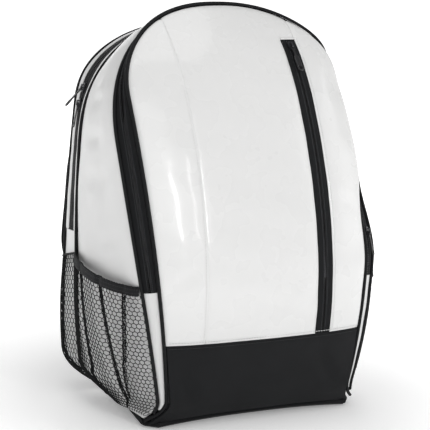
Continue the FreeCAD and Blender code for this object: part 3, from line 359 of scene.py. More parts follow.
def moulded(name, color, roughness, metallic=0.0):
    """Moulded plastic or coated casting: fine grain and handling marks."""
    shade = Shade(name, color, roughness, metallic, Specular_IOR_Level=0.5)
    shade.tint(shade.noise(140.0, 5.0), 0.3, 0.7, shaded(color, 0.85), shaded(color, 1.2))
    shade.rough(shade.noise(260.0, 4.0), roughness - 0.07, roughness + 0.12)
    return shade.bump(shade.noise(900.0, 3.0), 0.00006, 0.4).material


WHITE, BLACK = (0.74, 0.74, 0.735), (0.0065, 0.007, 0.008)
FRONT_CLOTH = coated("front_cloth", WHITE, 0.26, 0.45)
# painted shade: the side and gusset cloth is the front's white made about a tenth darker, for the shade on
# the sides; its thinner coat and rougher finish are its own
SHADED_SIDE_CLOTH = coated("side_cloth", (0.67, 0.67, 0.667), 0.46, 0.8, 0.15)
BLACK_CLOTH = woven("black_cloth", BLACK, 0.0009)
LINING = woven("lining", (0.16, 0.16, 0.17), 0.0007, 0.6)
TAPE = ribbed("zip_tape", (0.0045, 0.0048, 0.0056), 0.0011, roughness=0.85)
WEBBING_CLOTH = ribbed("webbing", (0.014, 0.0145, 0.016), 0.0017, 0.0004)
CORD_COVER = woven("cord_cover", (0.005, 0.0054, 0.0062), 0.0011, 0.75)
BINDING_CLOTH = ribbed("binding", (0.0055, 0.006, 0.0068), 0.0014, 0.0003)
NET = woven("net_yarn", (0.005, 0.0054, 0.006), 0.0005, 0.8)
AIR_MESH = spacer("air_mesh", (0.028, 0.029, 0.032), 0.0032)
THREAD = woven("thread", (0.70, 0.70, 0.695), 0.0004, 0.6)
BLACK_THREAD = woven("black_thread", (0.03, 0.03, 0.032), 0.0004, 0.6)
CHAIN_THREAD = woven("chain_thread", (0.075, 0.078, 0.085), 0.0004, 0.6)
COIL = moulded("zip_coil", (0.012, 0.012, 0.0135), 0.5)
CASTING = moulded("slider_casting", (0.05, 0.05, 0.055), 0.34, 0.7)
PULL_COAT = moulded("pull_coat", (0.006, 0.006, 0.007), 0.38)
BUCKLE = moulded("buckle_plastic", (0.02, 0.02, 0.022), 0.34)

# ---- mesh builders

FOLD_BEND = ((0, 0, 0.157), (0, 0, 0.190))


def place(name, data):
    thing = bpy.data.objects.new(name, data)
    bpy.context.scene.collection.objects.link(thing)
    return thing


def new_piece(name, points, faces, uv, material):
    """A mesh piece from points in millimetres, with one uv per point, in metres along the cloth."""
    mesh = bpy.data.meshes.new(name)
    mesh.from_pydata((np.asarray(points) * MM).tolist(), [], faces)
    layer = mesh.uv_layers.new(name="cloth")
    corner = np.zeros(len(mesh.loops), np.int32)
    mesh.loops.foreach_get("vertex_index", corner)
    layer.data.foreach_set("uv", (np.asarray(uv, np.float32) * MM)[corner].ravel())
    shell = bmesh.new()
    shell.from_mesh(mesh)
    bmesh.ops.recalc_face_normals(shell, faces=shell.faces)
    shell.to_mesh(mesh)
    shell.free()
    mesh.polygons.foreach_set("use_smooth", np.ones(len(mesh.polygons), bool))
    mesh.set_sharp_from_angle(angle=math.radians(48))
    mesh.materials.append(material)
    return place(name, mesh)


def fix(piece, body, slot, *nodes):
    """Rides on its body, or has its place baked into its mesh where the body is FOLD_BEND."""
    if body is FOLD_BEND:
        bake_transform(piece)
    else:
        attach(piece, body)
    if nodes:
        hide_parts(*nodes)


def run_along(path):
    """Distance from the start at each point of a path."""
    return np.concatenate([[0], np.cumsum(np.linalg.norm(np.diff(path, axis=0), axis=-1))])


def at_run(stops, run, rows):
    """Rows of three values, each read at some stops of the run."""
    return np.stack([np.interp(stops, run, rows[:, k]) for k in range(3)], -1)


def mesh_grid(columns, rows):
    """Shares u and v over a patch, as two grids."""
    return np.meshgrid(np.linspace(0, 1, columns), np.linspace(0, 1, rows), indexing="ij")


def grid_uv(points):
    """Distances along the cloth, from the grid's own point spacing."""
    across = np.linalg.norm(np.diff(points, axis=0), axis=-1).mean(1)
    along = np.linalg.norm(np.diff(points, axis=1), axis=-1).mean(0)
    s, t = (np.concatenate([[0], np.cumsum(steps)]) for steps in (across, along))
    return np.stack(np.meshgrid(s, t, indexing="ij"), -1)


def normals_of(points, outward):
    normal = unit(np.cross(np.gradient(points, axis=0), np.gradient(points, axis=1)))
    middle = normal[normal.shape[0] // 2, normal.shape[1] // 2]
    return normal if np.dot(middle, outward) > 0 else -normal


def sheet_parts(points, inner, offset=0):
    """Points, faces and uvs of a closed sheet between two grids of points."""
    count = points.shape[0] * points.shape[1]
    cell = np.arange(count).reshape(points.shape[:2])
    quads = np.stack([cell[:-1, :-1], cell[1:, :-1], cell[1:, 1:], cell[:-1, 1:]], -1).reshape(-1, 4)
    rim = np.concatenate([cell[:, 0], cell[-1, 1:], cell[-2::-1, -1], cell[0, -2:0:-1]])
    after = np.roll(rim, -1)
    border = np.stack([rim, after, after + count, rim + count], -1)
    faces = np.concatenate([quads, quads[:, ::-1] + count, border]) + offset
    uv = grid_uv(points).reshape(-1, 2)
    return np.concatenate([points.reshape(-1, 3), inner.reshape(-1, 3)]), faces.tolist(), np.tile(uv, (2, 1))


def lay(name, patches, outward, thickness, material, relief=None, warp=slack, shift=None):
    """One piece of cloth from patches (shape(u, v), columns, rows). `relief` takes the points and
    the share across and along the patch, and gives how far the cloth stands out there."""
    points, faces, uvs = [], [], []
    for shape, columns, rows in patches:
        u, v = mesh_grid(columns, rows)
        raw = shape(u, v)
        outer = warp(raw)
        if relief is not None:
            outer = outer + normals_of(outer, outward) * np.asarray(relief(raw, u, v))[..., None]
        if shift is not None:
            outer = outer + shift(raw)
        inner = outer - normals_of(outer, outward) * thickness
        part = sheet_parts(outer, inner, sum(len(p) for p in points))
        points.append(part[0])
        faces += part[1]
        uvs.append(part[2])
    return new_piece(name, np.concatenate(points), faces, np.concatenate(uvs), material)


def ring_faces(count, sides):
    """Faces between rings of points, joined one to the next, and the two ends."""
    cell = np.arange(count * sides).reshape(count, sides)
    turned = np.roll(cell, -1, axis=1)
    quads = np.stack([cell[:-1], turned[:-1], turned[1:], cell[1:]], -1).reshape(-1, 4)
    return quads, np.stack([cell[0], cell[-1][::-1]])


def rings_to_mesh(name, rings, run, around, material):
    """A closed skin over rings of points, with its uv from the run and the way around."""
    quads, ends = ring_faces(*rings.shape[:2])
    uv = np.stack(np.broadcast_arrays(run[:, None], around), -1).reshape(-1, 2)
    return new_piece(name, rings.reshape(-1, 3), quads.tolist() + ends.tolist(), uv, material)


def squared(angle, power):
    """Cosine and sine of a rounded square: the higher the power, the squarer."""
    return [np.sign(wave) * np.abs(wave) ** (2 / power) for wave in (np.cos(angle), np.sin(angle))]


def frames_along(path, outward):
    """Side and outward vectors along a path of points."""
    tangent = unit(np.gradient(path, axis=0))
    side = unit(np.cross(tangent, outward))
    return side, unit(np.cross(side, tangent))


def tube(name, path, radius, material, sides=10, swell=1.0):
    """A round cord along a path; `swell` gives a share of the radius at each point."""
    tangent = unit(np.gradient(path, axis=0))
    side = unit(np.cross(tangent, [0.0, 1.0, 0.0]))
    up = np.cross(side, tangent)
    angle = np.linspace(0, 2 * math.pi, sides, endpoint=False)
    size = radius * swell * np.ones(len(path))
    ring = side[:, None] * np.cos(angle)[None, :, None] + up[:, None] * np.sin(angle)[None, :, None]
    rings = path[:, None] + ring * size[:, None, None]
    return rings_to_mesh(name, rings, run_along(path), angle[None] * radius, material)


def strap(name, path, half, thick, outward, material, square, sides=24, crown=0.0):
    """A flat strap: a rounded section across `outward`, with its outer face on the path."""
    side, out = frames_along(path, outward)
    x, y = squared(np.linspace(0, 2 * math.pi, sides, endpoint=False), square)
    half, thick = np.broadcast_to(half, len(path)), np.broadcast_to(thick, len(path))
    across = half[:, None] * x[None]
    depth = (thick[:, None] / 2) * (y[None] - 1) - crown * (x[None] ** 2) * (y[None] > 0)
    rings = path[:, None] + side[:, None] * across[..., None] + out[:, None] * depth[..., None]
    return rings_to_mesh(name, rings, run_along(path), across, material)


def webbing(name, path, half=WEBBING / 2):
    """Flat webbing, or a patch of it, that faces the back of the bag."""
    return strap(name, path, half, WEBBING_THICK, BEHIND, WEBBING_CLOTH, 8.0, 16)


def walk(path, pitch):
    """Evenly spaced points along a path, with their tangents."""
    run = run_along(path)
    stops = np.arange(pitch / 2, run[-1], pitch)
    spots = at_run(stops, run, path)
    return spots, unit(np.gradient(spots, axis=0)), stops


def repeat(name, spots, along, across, out, block, material):
    """Copies of one small block, a list of (along, across, out) corner rings, at many places."""
    block = np.asarray(block, float)
    rings, sides = block.shape[:2]
    axes = np.stack([along, across, out], 1)
    points = (spots[:, None] + np.einsum("kc,ncx->nkx", block.reshape(-1, 3), axes)).reshape(-1, 3)
    quads, ends = ring_faces(rings, sides)
    base = (np.arange(len(spots)) * rings * sides)[:, None, None]
    faces = (quads[None] + base).reshape(-1, 4).tolist() + (ends[None] + base).reshape(-1, sides).tolist()
    return new_piece(name, points, faces, np.zeros((len(points), 2)), material)


def thread_block(length, thick):
    """A short stitch: it rises from the cloth and dips back in."""
    rings = []
    for share, rise in ((-0.5, -0.4), (-0.25, 0.35), (0.25, 0.35), (0.5, -0.4)):
        rings.append([(share * length, thick * math.cos(a), thick * (rise + 0.8 * math.sin(a)))
                      for a in (0.3, 1.57, 2.84, 4.71)])
    return rings


def stitches(name, path, outward, material, pitch=3.6, length=2.6, thick=0.35):
    """A seam's row of stitches along a path on the cloth."""
    spots, along, _ = walk(path, pitch)
    out = np.broadcast_to(np.asarray(outward, float), spots.shape)
    across = unit(np.cross(out, along))
    return repeat(name, spots, along, across, unit(np.cross(along, across)),
                  thread_block(length, thick), material)


def crease(points, start, end, width, depth):
    """A soft fold between two points: a valley with a low ridge beside it."""
    start, end = np.asarray(start, float), np.asarray(end, float)
    span = end - start
    share = np.clip(((points - start) @ span) / (span @ span), 0, 1)
    gap = points - (start + share[..., None] * span)
    distance = np.linalg.norm(gap, axis=-1) / width
    fade = np.sin(math.pi * np.clip(share, 0.04, 0.96)) ** 0.5
    return -depth * (np.exp(-distance ** 2) - 0.45 * np.exp(-(distance - 1.7) ** 2)) * fade


def creased(points, folds, strength=1.0):
    """All the folds of one list together."""
    return sum(crease(points, start, end, width, strength * depth) for start, end, width, depth in folds)


def valley(distance, width):
    return np.exp(-distance / width)


def sewn(rim, fill, wide, dip, narrow):
    """Cloth beside a seam: a narrow dip at the seam, and a field that fills out away from it."""
    return fill * (1 - valley(rim, wide)) - dip * valley(rim, narrow)


def rim_of(u, v, wide, tall):
    """Distance to the nearest edge of a patch of that width and height."""
    return np.minimum(np.minimum(u, 1 - u) * wide, np.minimum(v, 1 - v) * tall)


def ripple(points, wavelengths, amount, seed):
    """Slow unevenness of soft cloth: a few crossing waves of fixed directions."""
    rng = np.random.default_rng(seed)
    total = np.zeros(points.shape[:-1])
    for length in wavelengths:
        direction = unit(rng.normal(size=3))
        total += np.sin(points @ direction * (2 * math.pi / length) + rng.uniform(0, 6.28))
    return amount * total / len(wavelengths)


def spline(points, count):
    """Smooth path through a few points, by a natural cubic over the distance between them."""
    points = np.asarray(points, float)
    knots = run_along(points)
    size, step = len(points), np.diff(knots)
    system, right = np.eye(size), np.zeros((size, points.shape[1]))
    for k in range(1, size - 1):
        system[k, k - 1:k + 2] = step[k - 1], 2 * (step[k - 1] + step[k]), step[k]
        slope = np.diff(points[k - 1:k + 2], axis=0) / step[k - 1:k + 1, None]
        right[k] = 6 * (slope[1] - slope[0])
    bend = np.linalg.solve(system, right)
    where = np.linspace(0, knots[-1], count)
    k = np.clip(np.searchsorted(knots, where, side="right") - 1, 0, size - 2)
    near, far, span = (where - knots[k])[:, None], (knots[k + 1] - where)[:, None], step[k][:, None]
    return ((bend[k] * far ** 3 + bend[k + 1] * near ** 3) / (6 * span)
            + (points[k] / span - bend[k] * span / 6) * far
            + (points[k + 1] / span - bend[k + 1] * span / 6) * near)


# ---- front of the bag

def front_rows(x_near, x_far, low, high, crowd=1.0):
    """Front cloth laid in rows, from one x to another that both depend on the height."""
    start, end = INNER.station(low), INNER.station(high)

    def point(u, v):
        height = INNER.height(start + (end - start) * v ** crowd)
        near, far = x_near(height), x_far(height)
        return front_surface(near + (far - near) * u, height)

    return point


def front_columns(x_near, x_far, low, high):
    """Front cloth laid in columns, each up to the height that `high` gives there."""
    def point(u, v):
        x = x_near + (x_far - x_near) * u
        return front_surface(x, low + (high(x) - low) * v)

    return point


def edge_distance(raw):
    """Distance of front cloth to the front seam."""
    x, height = np.abs(raw[..., 0]), raw[..., 2] - LIFT
    across = np.clip(inner_half(height) - x, 0, None)
    up = np.clip(INNER.arch_height(x) - height, 0, None)
    return across * up / np.maximum(np.hypot(across, up), 1e-6)


def zip_distance(raw):
    """Distance of front cloth to the edge of the pocket zip."""
    x, height = raw[..., 0], raw[..., 2] - LIFT
    across = np.maximum(ZIP_IN - x, x - ZIP_OUT)
    return np.hypot(np.clip(across, 0, None), np.clip(height - POCKET_TOP, 0, None))


FRONT_CREASES = (
    ((96, -80, 366), (118, -74, 348), 7, 1.3),
    ((92, -98, 262), (124, -92, 246), 9, 1.2),
    ((-40, -90, 432), (-66, -84, 396), 12, 0.9),
    ((30, -112, 300), (58, -110, 286), 12, 0.8),
    ((-78, -118, 210), (-58, -122, 178), 10, 1.0),
    ((-84, -100, 330), (-104, -96, 312), 8, 1.0),
    ((-96, -108, 186), (-120, -100, 170), 9, 0.9),
    ((-20, -118, 118), (20, -119, 128), 10, 0.9),
    ((60, -112, 150), (40, -118, 128), 9, 1.0),
)


def front_relief(raw, u, v):
    """Seam valleys, gently filled fields between them and a few soft folds."""
    x, height = raw[..., 0], raw[..., 2] - LIFT
    flat_seam = np.minimum(np.abs(x + SEAM_LEFT), np.where(height > POCKET_TOP, np.abs(x - ZIP_OUT), 99.0))
    nearest = np.minimum.reduce([zip_distance(raw), edge_distance(raw), np.abs(height - BOOT)])
    out = sewn(nearest, 1.3, 14.0, 1.3, 1.6) + sewn(flat_seam, 0.5, 10.0, 0.40, 1.2)
    return out + creased(raw, FRONT_CREASES) + ripple(raw, (64, 47, 95), 0.45, 3)


ROLL_OUT, ROLL_BACK, ROLL_PEAK = 15.0, 3.0, 7.0


def right_roll(raw):
    """The slack right edge of the front rolls out over its seam and hides the zip behind it."""
    height, share = raw[..., 2] - LIFT, edge_distance(raw) / ROLL_PEAK
    where = ease((height - 190) / 95) * ease((454 - height) / 84) * ease((raw[..., 0] - ZIP_OUT) / 34)
    roll = share * np.exp(1 - share) * where
    return vec(ROLL_OUT * roll, ROLL_BACK * roll, 0)


def front_cloth():
    foot, arch = BOOT + BUTT, INNER.arch_height
    left_tip, right_tip = arch(SEAM_LEFT + 4), arch(ZIP_OUT + 4)
    left = front_rows(lambda z: -SEAM_LEFT - 0.03, lambda z: -inner_half(z), foot, left_tip)
    middle = front_columns(-SEAM_LEFT + 0.03, ZIP_IN - BUTT, foot, arch)
    over_zip = front_columns(ZIP_IN - BUTT, ZIP_OUT - BUTT, POCKET_TOP + GAP, arch)
    right = front_rows(lambda z: ZIP_OUT + BUTT, inner_half, foot, right_tip)
    for word, patches, shift in (("left", [(left, 26, 120)], None),
                                 ("centre", [(middle, 60, 120), (over_zip, 12, 14)], None),
                                 ("right", [(right, 34, 120)], right_roll)):
        cloth = lay(f"front_{word}", patches, AHEAD, CLOTH, FRONT_CLOTH, front_relief, shift=shift)
        fix(cloth, FOLD_BEND, "coated_cloth", f"flap_panel_{word}", f"lower_panel_{word}")


def on_front(x, low, high):
    """A path on the front cloth at a distance from the middle."""
    raw = front_surface(x, np.linspace(low, high, 160))
    return slack(raw) + np.array(AHEAD) * (front_relief(raw, 0, 0) + 0.3)[:, None]


def tooth(side):
    """One coil of a zip: a rounded head at the slot and a shank that lies on the tape."""
    rings = []
    for across, wide, low, high in ((0.55, 0.45, -1.2, -0.4), (0.85, 0.62, -1.6, -0.1),
                                    (1.6, 0.5, -1.55, -0.15), (2.2, 0.42, -1.3, -0.5)):
        middle = (low + high) / 2
        rings.append([(wide * math.cos(a), side * across, middle + (high - low) / 2 * math.sin(a))
                      for a in np.linspace(0, 2 * math.pi, 6, endpoint=False)])
    return rings


def coil(name, line, side):
    """One row of zip coils along the middle of a zip; the far row sits half a pitch on."""
    path, across, out = line
    spots, along, stops = walk(path, COIL_PITCH)
    if side > 0:
        spots = spots + along * COIL_PITCH / 2
    run = run_along(path)
    across, out = (unit(at_run(stops, run, rows)) for rows in (across, out))
    return repeat(name, spots, along, across, out, tooth(side), COIL)


def chain(name, line, halves, outward=None):
    """Both rows of a zip's coils, given (word, body, node), and the stitches that hold them."""
    path, across, out = line
    for side, (word, body, *nodes) in zip((-1, 1), halves):
        fix(coil(f"{name}_coil_{word}", line, side), body, "teeth", *nodes)
        if outward:
            fix(stitches(f"{name}_chain_stitch_{word}", path + side * 2.9 * across - 0.35 * out, outward,
                         CHAIN_THREAD, 2.4, 1.3, 0.3), body, "tape")


def pocket_zip():
    outer, inner = ZIP_WIDTH / 2 - BUTT, TEETH_OUT - 0.2
    for word, near, far, *nodes in (("left", -outer, -inner, "pocket_zip_tapes", "pocket_zip_lower"),
                                    ("right", inner, outer)):
        def relief(raw, u, v):
            rim = np.minimum(u, 1 - u) * (outer - inner)
            return -0.5 - 0.3 * valley(rim, 1.0) + ripple(raw, (38, 23), 0.12, 5)

        shape = front_rows(lambda z: ZIP_MID + near, lambda z: ZIP_MID + far, BOOT + BUTT, POCKET_TOP - GAP)
        tape = lay(f"pocket_tape_{word}", [(shape, 8, 150)], AHEAD, TAPE_THICK, TAPE, relief)
        fix(tape, FOLD_BEND, "tape", *nodes)
    height = np.linspace(BOOT + 1, POCKET_TOP - 1.5, 240)
    path, near, far = (slack(front_surface(ZIP_MID + x, height)) for x in (0, -2, 2))
    across = unit(far - near)
    out = unit(np.cross(across, np.gradient(path, axis=0)))
    chain("pocket", (path, across, out * np.sign(-out[:, 1:2])),
          (("left", FOLD_BEND, "pocket_zip_teeth"), ("right", FOLD_BEND)), AHEAD)
    hem = slack(front_surface(np.linspace(ZIP_IN - 0.5, ZIP_OUT + 0.5, 12), POCKET_TOP + 0.2))
    hem = tube("pocket_top_hem", hem + np.array([0, -0.5, 0]), 1.0, FRONT_CLOTH, 8)
    fix(hem, "front_flap", "coated_cloth")


BOOT_CREASES = (
    ((-118, -100, 70), (-86, -104, 26), 9, 2.0),
    ((70, -110, 78), (104, -106, 34), 9, 1.8),
    ((-30, -110, 60), (22, -110, 52), 10, 1.3),
)


def boot_half(height):
    return inner_half(height) - 0.5 - 1.5 * FRONT.toe_share(height)


def boot():
    """Black boot round the foot of the front: it bulges out under its seam."""
    def relief(raw, u, v):
        height = raw[..., 2] - LIFT
        out = -1.3 * valley(BOOT - height, 1.8) + 2.0 * np.sin(math.pi * np.clip(height / BOOT, 0, 1)) ** 0.7
        out = out + 2.6 * np.abs(2 * u - 1) ** 5 * np.exp(-((height - 26) / 22) ** 2)
        return out + creased(raw, BOOT_CREASES) + ripple(raw, (52, 37, 71), 0.6, 7)

    def drawn_up(raw):
        share = np.clip(1 - (raw[..., 2] - LIFT) / 60.0, 0, 1) ** 2
        across = np.clip(raw[..., 0] / TOE[0], -1, 1)
        rise = 5.0 * (1 - np.abs(across) ** 3) - 6.0 * np.abs(across) ** 8
        return vec(-5.0 * np.clip(across, 0, 1) ** 4 * share, 0, share * rise)

    shape = front_rows(lambda z: -boot_half(z), boot_half, GAP, BOOT - BUTT, 1.6)
    piece = lay("boot", [(shape, 90, 40)], AHEAD, CLOTH, BLACK_CLOTH, relief, shift=drawn_up)
    fix(piece, "bag", "black_cloth", "front_boot")


def base():
    """Soft base: it stands on its rim, and its middle is drawn up a little."""
    right = np.array([(TOE[0] - 18.0, FRONT_FOOT + 3.0), (TOE[0] - 3.0, TOE[1] + 3.0),
                      (WIDTH / 2 - 10.2 - 0.5 - HEEL, BACK_FOOT - 56.6),
                      (WIDTH / 2 - 25.3 + 10.0 - HEEL, BACK_FOOT - HEEL / 2 + 0.6)])
    depth = np.linspace(right[0, 1], right[-1, 1], 40)
    half = np.interp(depth, right[:, 1], right[:, 0])

    def shape(u, v):
        y = right[0, 1] + (right[-1, 1] - right[0, 1]) * v
        x = np.interp(y, depth, half) * (2 * u - 1)
        front = 1.6 * np.exp(-(v / 0.16) ** 2) * (1 - np.abs(2 * u - 1) ** 2.4)
        rim = rim_of(u, v, 2 * half.mean(), 170)
        return vec(x, y, 3.5 * valley(rim, 2.0) + 3.2 * front + 0.8 * (1 - valley(rim, 30)))

    piece = lay("base_tray", [(shape, 60, 40)], (0, 0, -1), 4.0, BLACK_CLOTH, warp=lambda points: points)
    fix(piece, "bag", "black_cloth", "base_panel")


def pocket_lining():
    outline = FRONT.inset_by(9)
    start = outline.station(FOLD + 6)

    def shape(u, v):
        height = outline.height(start + (1.93 - start) * v)
        room = (1 - (2 * u - 1) ** 6) * (1 - (2 * v - 1) ** 6)
        return front_surface(outline.half(height) * (2 * u - 1), height, 1.35 * CLOTH + 0.9 + 6.0 * room)

    piece = lay("pocket_lining_cloth", [(shape, 50, 70)], BEHIND, 1.0, LINING,
                lambda raw, u, v: ripple(raw, (58, 41, 33), 0.7, 11) * np.sin(math.pi * u) - 1.0)
    fix(piece, "front_flap", "lining", "pocket_lining")


# ---- piping and gussets


def piping():
    for name, seam, foot, body, *nodes in (("front", FRONT, EDGE, FOLD_BEND, "flap_piping", "front_piping"),
                                           ("second", SECOND, GUSSET_FOOT - 4, "bag", "second_piping"),
                                           ("third", THIRD, EDGE, "bag", "third_piping"),
                                           ("back", BACK, EDGE, "bag", "back_piping")):
        path = slack(seam.arch_point(np.linspace(seam.turn(foot, -1), seam.turn(foot, 1), 420)))
        fix(tube(f"{name}_piping_cord", path, PIPING, CORD_COVER), body, "piping", *nodes)


INSIDE = np.array([0, 30.0, 200.0])


def band(first, second, start, end, near, far, crowd=1.0):
    """Cloth between two seams. `near` and `far` are each a share of the way and a distance more."""
    def point(u, v):
        turn = start + (end - start) * u ** crowd
        length = band_length(first, second, turn)
        low, high = (share * length + more for share, more in (near, far))
        return strip_point(first, second, turn, low + (high - low) * v)

    return point


def strip(name, shape, columns, rows, thickness, material, relief):
    """A patch of gusset, which faces away from the inside of the bag."""
    outward = shape(*mesh_grid(5, 3))[2, 1] - INSIDE
    return lay(name, [(shape, columns, rows)], outward, thickness, material, relief)


def tape_relief(raw, u, v):
    return -0.5 - 0.35 * valley(np.minimum(v, 1 - v) * 8, 1.2) + ripple(raw, (44, 29), 0.15, 13)


def foot_relief(raw, u, v):
    rim = np.minimum(v, 1 - v)
    return 0.9 * np.sin(math.pi * v) - 1.0 * np.exp(-rim * 6) + ripple(raw, (31, 22), 0.35, 17)


def zip_middle(first, second, start, end, count):
    """Middle line of a zip between two seams, with its across and outward directions."""
    turn = np.linspace(start, end, count)
    length = band_length(first, second, turn)
    path, ahead = (slack(strip_point(first, second, turn, length / 2 + k)) for k in (0, 2))
    across = unit(ahead - path)
    out = unit(np.cross(across, np.gradient(path, axis=0)))
    return path, across, out * np.sign(np.sum(out * (path - INSIDE), -1, keepdims=True))


def arch_zip():
    start, end = (SECOND.turn(FOLD + BUTT, side) for side in (-1, 1))
    for word, body, near, far in (("flap", FOLD_BEND, (0, EDGE), (0.5, -TEETH_OUT)),
                                  ("bag", "bag", (0.5, TEETH_OUT), (1, -EDGE))):
        shape = band(FRONT, SECOND, start, end, near, far)
        tape = strip(f"arch_tape_{word}", shape, 260, 7, TAPE_THICK, TAPE, tape_relief)
        fix(tape, body, "tape", f"{word}_zip_tape")
    chain("arch", zip_middle(FRONT, SECOND, start, end, 420),
          (("flap", FOLD_BEND, "flap_zip_teeth"), ("bag", "bag", "bag_zip_teeth")), (0, -1, 0.3))
    for side, word in SIDES:
        start, end = SECOND.turn(GUSSET_FOOT, side), SECOND.turn(FOLD - BUTT, side)
        shape = band(FRONT, SECOND, start, end, (0, EDGE), (1, -EDGE))
        low = strip(f"lower_gusset_cloth_{word}", shape, 70, 9, CLOTH, SHADED_SIDE_CLOTH, foot_relief)
        fix(low, "bag", "side_cloth", f"lower_gusset_{word}")


def gusset_relief(raw, u, v):
    return sewn(np.minimum(v, 1 - v) * 12, 0.8, 3, 0.9, 1.0) + ripple(raw, (55, 36, 25), 0.4, 19)


def main_gusset():
    def cloth(word, shape, columns, rows):
        piece = strip(f"main_gusset_cloth_{word}", shape, columns, rows, CLOTH, SHADED_SIDE_CLOTH, gusset_relief)
        fix(piece, "bag", "side_cloth", f"main_gusset_{word}")

    start, end = (THIRD.turn(MAIN_END, side) for side in (-1, 1))
    room = TAPE_HALF + GAP
    cloth("front", band(THIRD, BACK, start, end, (0, EDGE), (0.5, -room)), 240, 9)
    cloth("rear", band(THIRD, BACK, start, end, (0.5, room), (1, -EDGE)), 240, 9)
    for word, near, far, *nodes in (("front", -TAPE_HALF, -TEETH_OUT, "main_zip_tapes"),
                                    ("rear", TEETH_OUT, TAPE_HALF)):
        shape = band(THIRD, BACK, start, end, (0.5, near), (0.5, far))
        fix(strip(f"main_tape_{word}", shape, 240, 7, TAPE_THICK, TAPE, tape_relief), "bag", "tape", *nodes)
    chain("main", zip_middle(THIRD, BACK, start, end, 420),
          (("front", "bag", "main_zip_teeth"), ("rear", "bag")))
    for side, word in SIDES:
        start, end = THIRD.turn(GAP, side), THIRD.turn(MAIN_END - GAP, side)
        cloth(word, band(THIRD, BACK, start, end, (0, EDGE + 0.2), (1, -EDGE - 0.2), 1.6), 90, 18)


# ---- side panels and net pockets

SIDE_CREASES = (
    ((-168, 16, 366), (-160, 40, 352), 8, 1.8),
    ((-172, 6, 322), (-168, 44, 312), 9, 1.6),
    ((-172, 2, 276), (-170, 46, 262), 10, 1.6),
    ((-170, -30, 300), (-172, 12, 250), 9, 1.1),
    ((-162, -10, 402), (-160, 20, 384), 9, 1.2),
    ((-168, -44, 214), (-170, 4, 196), 9, 1.2),
    ((168, -30, 344), (166, 30, 330), 9, 1.6),
    ((172, -20, 284), (170, 36, 262), 10, 1.5),
    ((170, -40, 226), (170, 10, 200), 9, 1.3),
    ((150, -10, 392), (140, 30, 400), 9, 1.3),
)


def side_relief(raw, u, v):
    out = sewn(np.minimum(v, 1 - v) * 110, 1.6, 16, 1.3, 1.8) + creased(raw, SIDE_CREASES, 1.5)
    return out + ripple(raw, (70, 52, 38, 96), 1.3, 23)


def toe_room(height):
    return 7.0 * SECOND.toe_share(height)


def side_panels():
    for side, word in SIDES:
        start, end = SECOND.turn(4.0, side), 0.5 + side * 1e-3

        def shape(u, v):
            turn = start + (end - start) * u
            length = band_length(SECOND, THIRD, turn)
            near = EDGE + 0.4 + toe_room(SECOND.arch_point(turn)[..., 2] - LIFT)
            return strip_point(SECOND, THIRD, turn, near + (length - EDGE - 0.4 - near) * v, SIDE_SWELL)

        piece = lay(f"side_cloth_{word}", [(shape, 170, 40)], (side, 0, 0), CLOTH, SHADED_SIDE_CLOTH, side_relief)
        fix(piece, "bag", "side_cloth", f"side_panel_{word}")


def net_top(across):
    return 160.0 + 11.0 * across - 6.0 * 4 * across * (1 - across)


def net_surface(first, second, side, height_at, near_at, swell=0.0):
    """A net's plain surface: u goes from one seam to the next, v from its foot to its top."""
    def point(u, v):
        height = height_at(u, v)
        turn = np.vectorize(first.turn)(height, side)
        length, near = band_length(first, second, turn), near_at(height)
        return strip_point(first, second, turn, near + (length - near - EDGE + 1.0) * u, swell)

    return point


def side_net(side):
    return net_surface(SECOND, THIRD, side, lambda u, v: NET_LOW + (net_top(u) - NET_LOW) * v,
                       lambda height: EDGE - 1.0 + toe_room(height) * 0.4, SIDE_SWELL)


def rear_net(side):
    """The net's rear part, over the rear gusset."""
    return net_surface(THIRD, BACK, side,
                       lambda u, v: NET_LOW + 10 + (net_top(1.0) - 16 - 10 * u - NET_LOW) * v,
                       lambda height: EDGE - 1.0)


NET_FOLDS = ((0.76, 0.62, 0.25, 1.0, 5.0), (0.44, 0.30, 0.05, 1.0, 6.5), (0.14, 0.27, 0.40, 1.0, 4.5))


def fold_middle(top, foot, v):
    return foot + (top - foot) * v


def net_lift(u, v):
    """Room between the side panel and the net, with the folds that the stretched net falls into."""
    room = np.sin(math.pi * np.clip(u, 0, 1)) ** 0.6 * np.sin(math.pi * (0.08 + 0.70 * v))
    lift = 1.6 + (NET_BULGE + 1.5) * room
    for top, foot, low, high, depth in NET_FOLDS:
        gap = (u - fold_middle(top, foot, np.clip(v, 0, 1))) / 0.030
        along = np.clip((v - low) / (high - low), 0, 1)
        lift = lift - depth * np.exp(-gap ** 2) * np.sin(math.pi * along) ** 0.4 * room
    return np.maximum(lift, 1.0)


def rear_net_lift(u, v):
    """The rear part stands off the gusset like a slack curtain."""
    room = np.sin(math.pi * (0.06 + 0.88 * np.clip(u, 0, 1))) * np.sin(math.pi * (0.10 + 0.80 * v)) ** 0.7
    return 1.2 + 9.0 * room - 2.0 * np.exp(-((u - 0.45 - 0.1 * v) / 0.06) ** 2) * room


def gather(u, v):
    """The net's cells crowd together in each fold."""
    shift = np.zeros_like(u)
    for top, foot, low, high, depth in NET_FOLDS:
        gap = (u - fold_middle(top, foot, v)) / 0.055
        shift = shift - 0.036 * gap * np.exp(-gap ** 2) * np.clip((v - low) * 6 + 1, 0, 1)
    return np.clip(u + shift, 0, 1)


def lifted(shape, side, u, v, lift):
    """Points `lift` outside a side panel's surface."""
    step = 0.004
    across = shape(np.clip(u + step, 0, 1), v) - shape(np.clip(u - step, 0, 1), v)
    along = shape(u, np.clip(v + step, 0, 1)) - shape(u, np.clip(v - step, 0, 1))
    normal = unit(np.cross(across, along))
    normal = normal * np.where(normal[..., :1] * side > 0, 1, -1)
    return shape(u, v) + normal * lift[..., None]


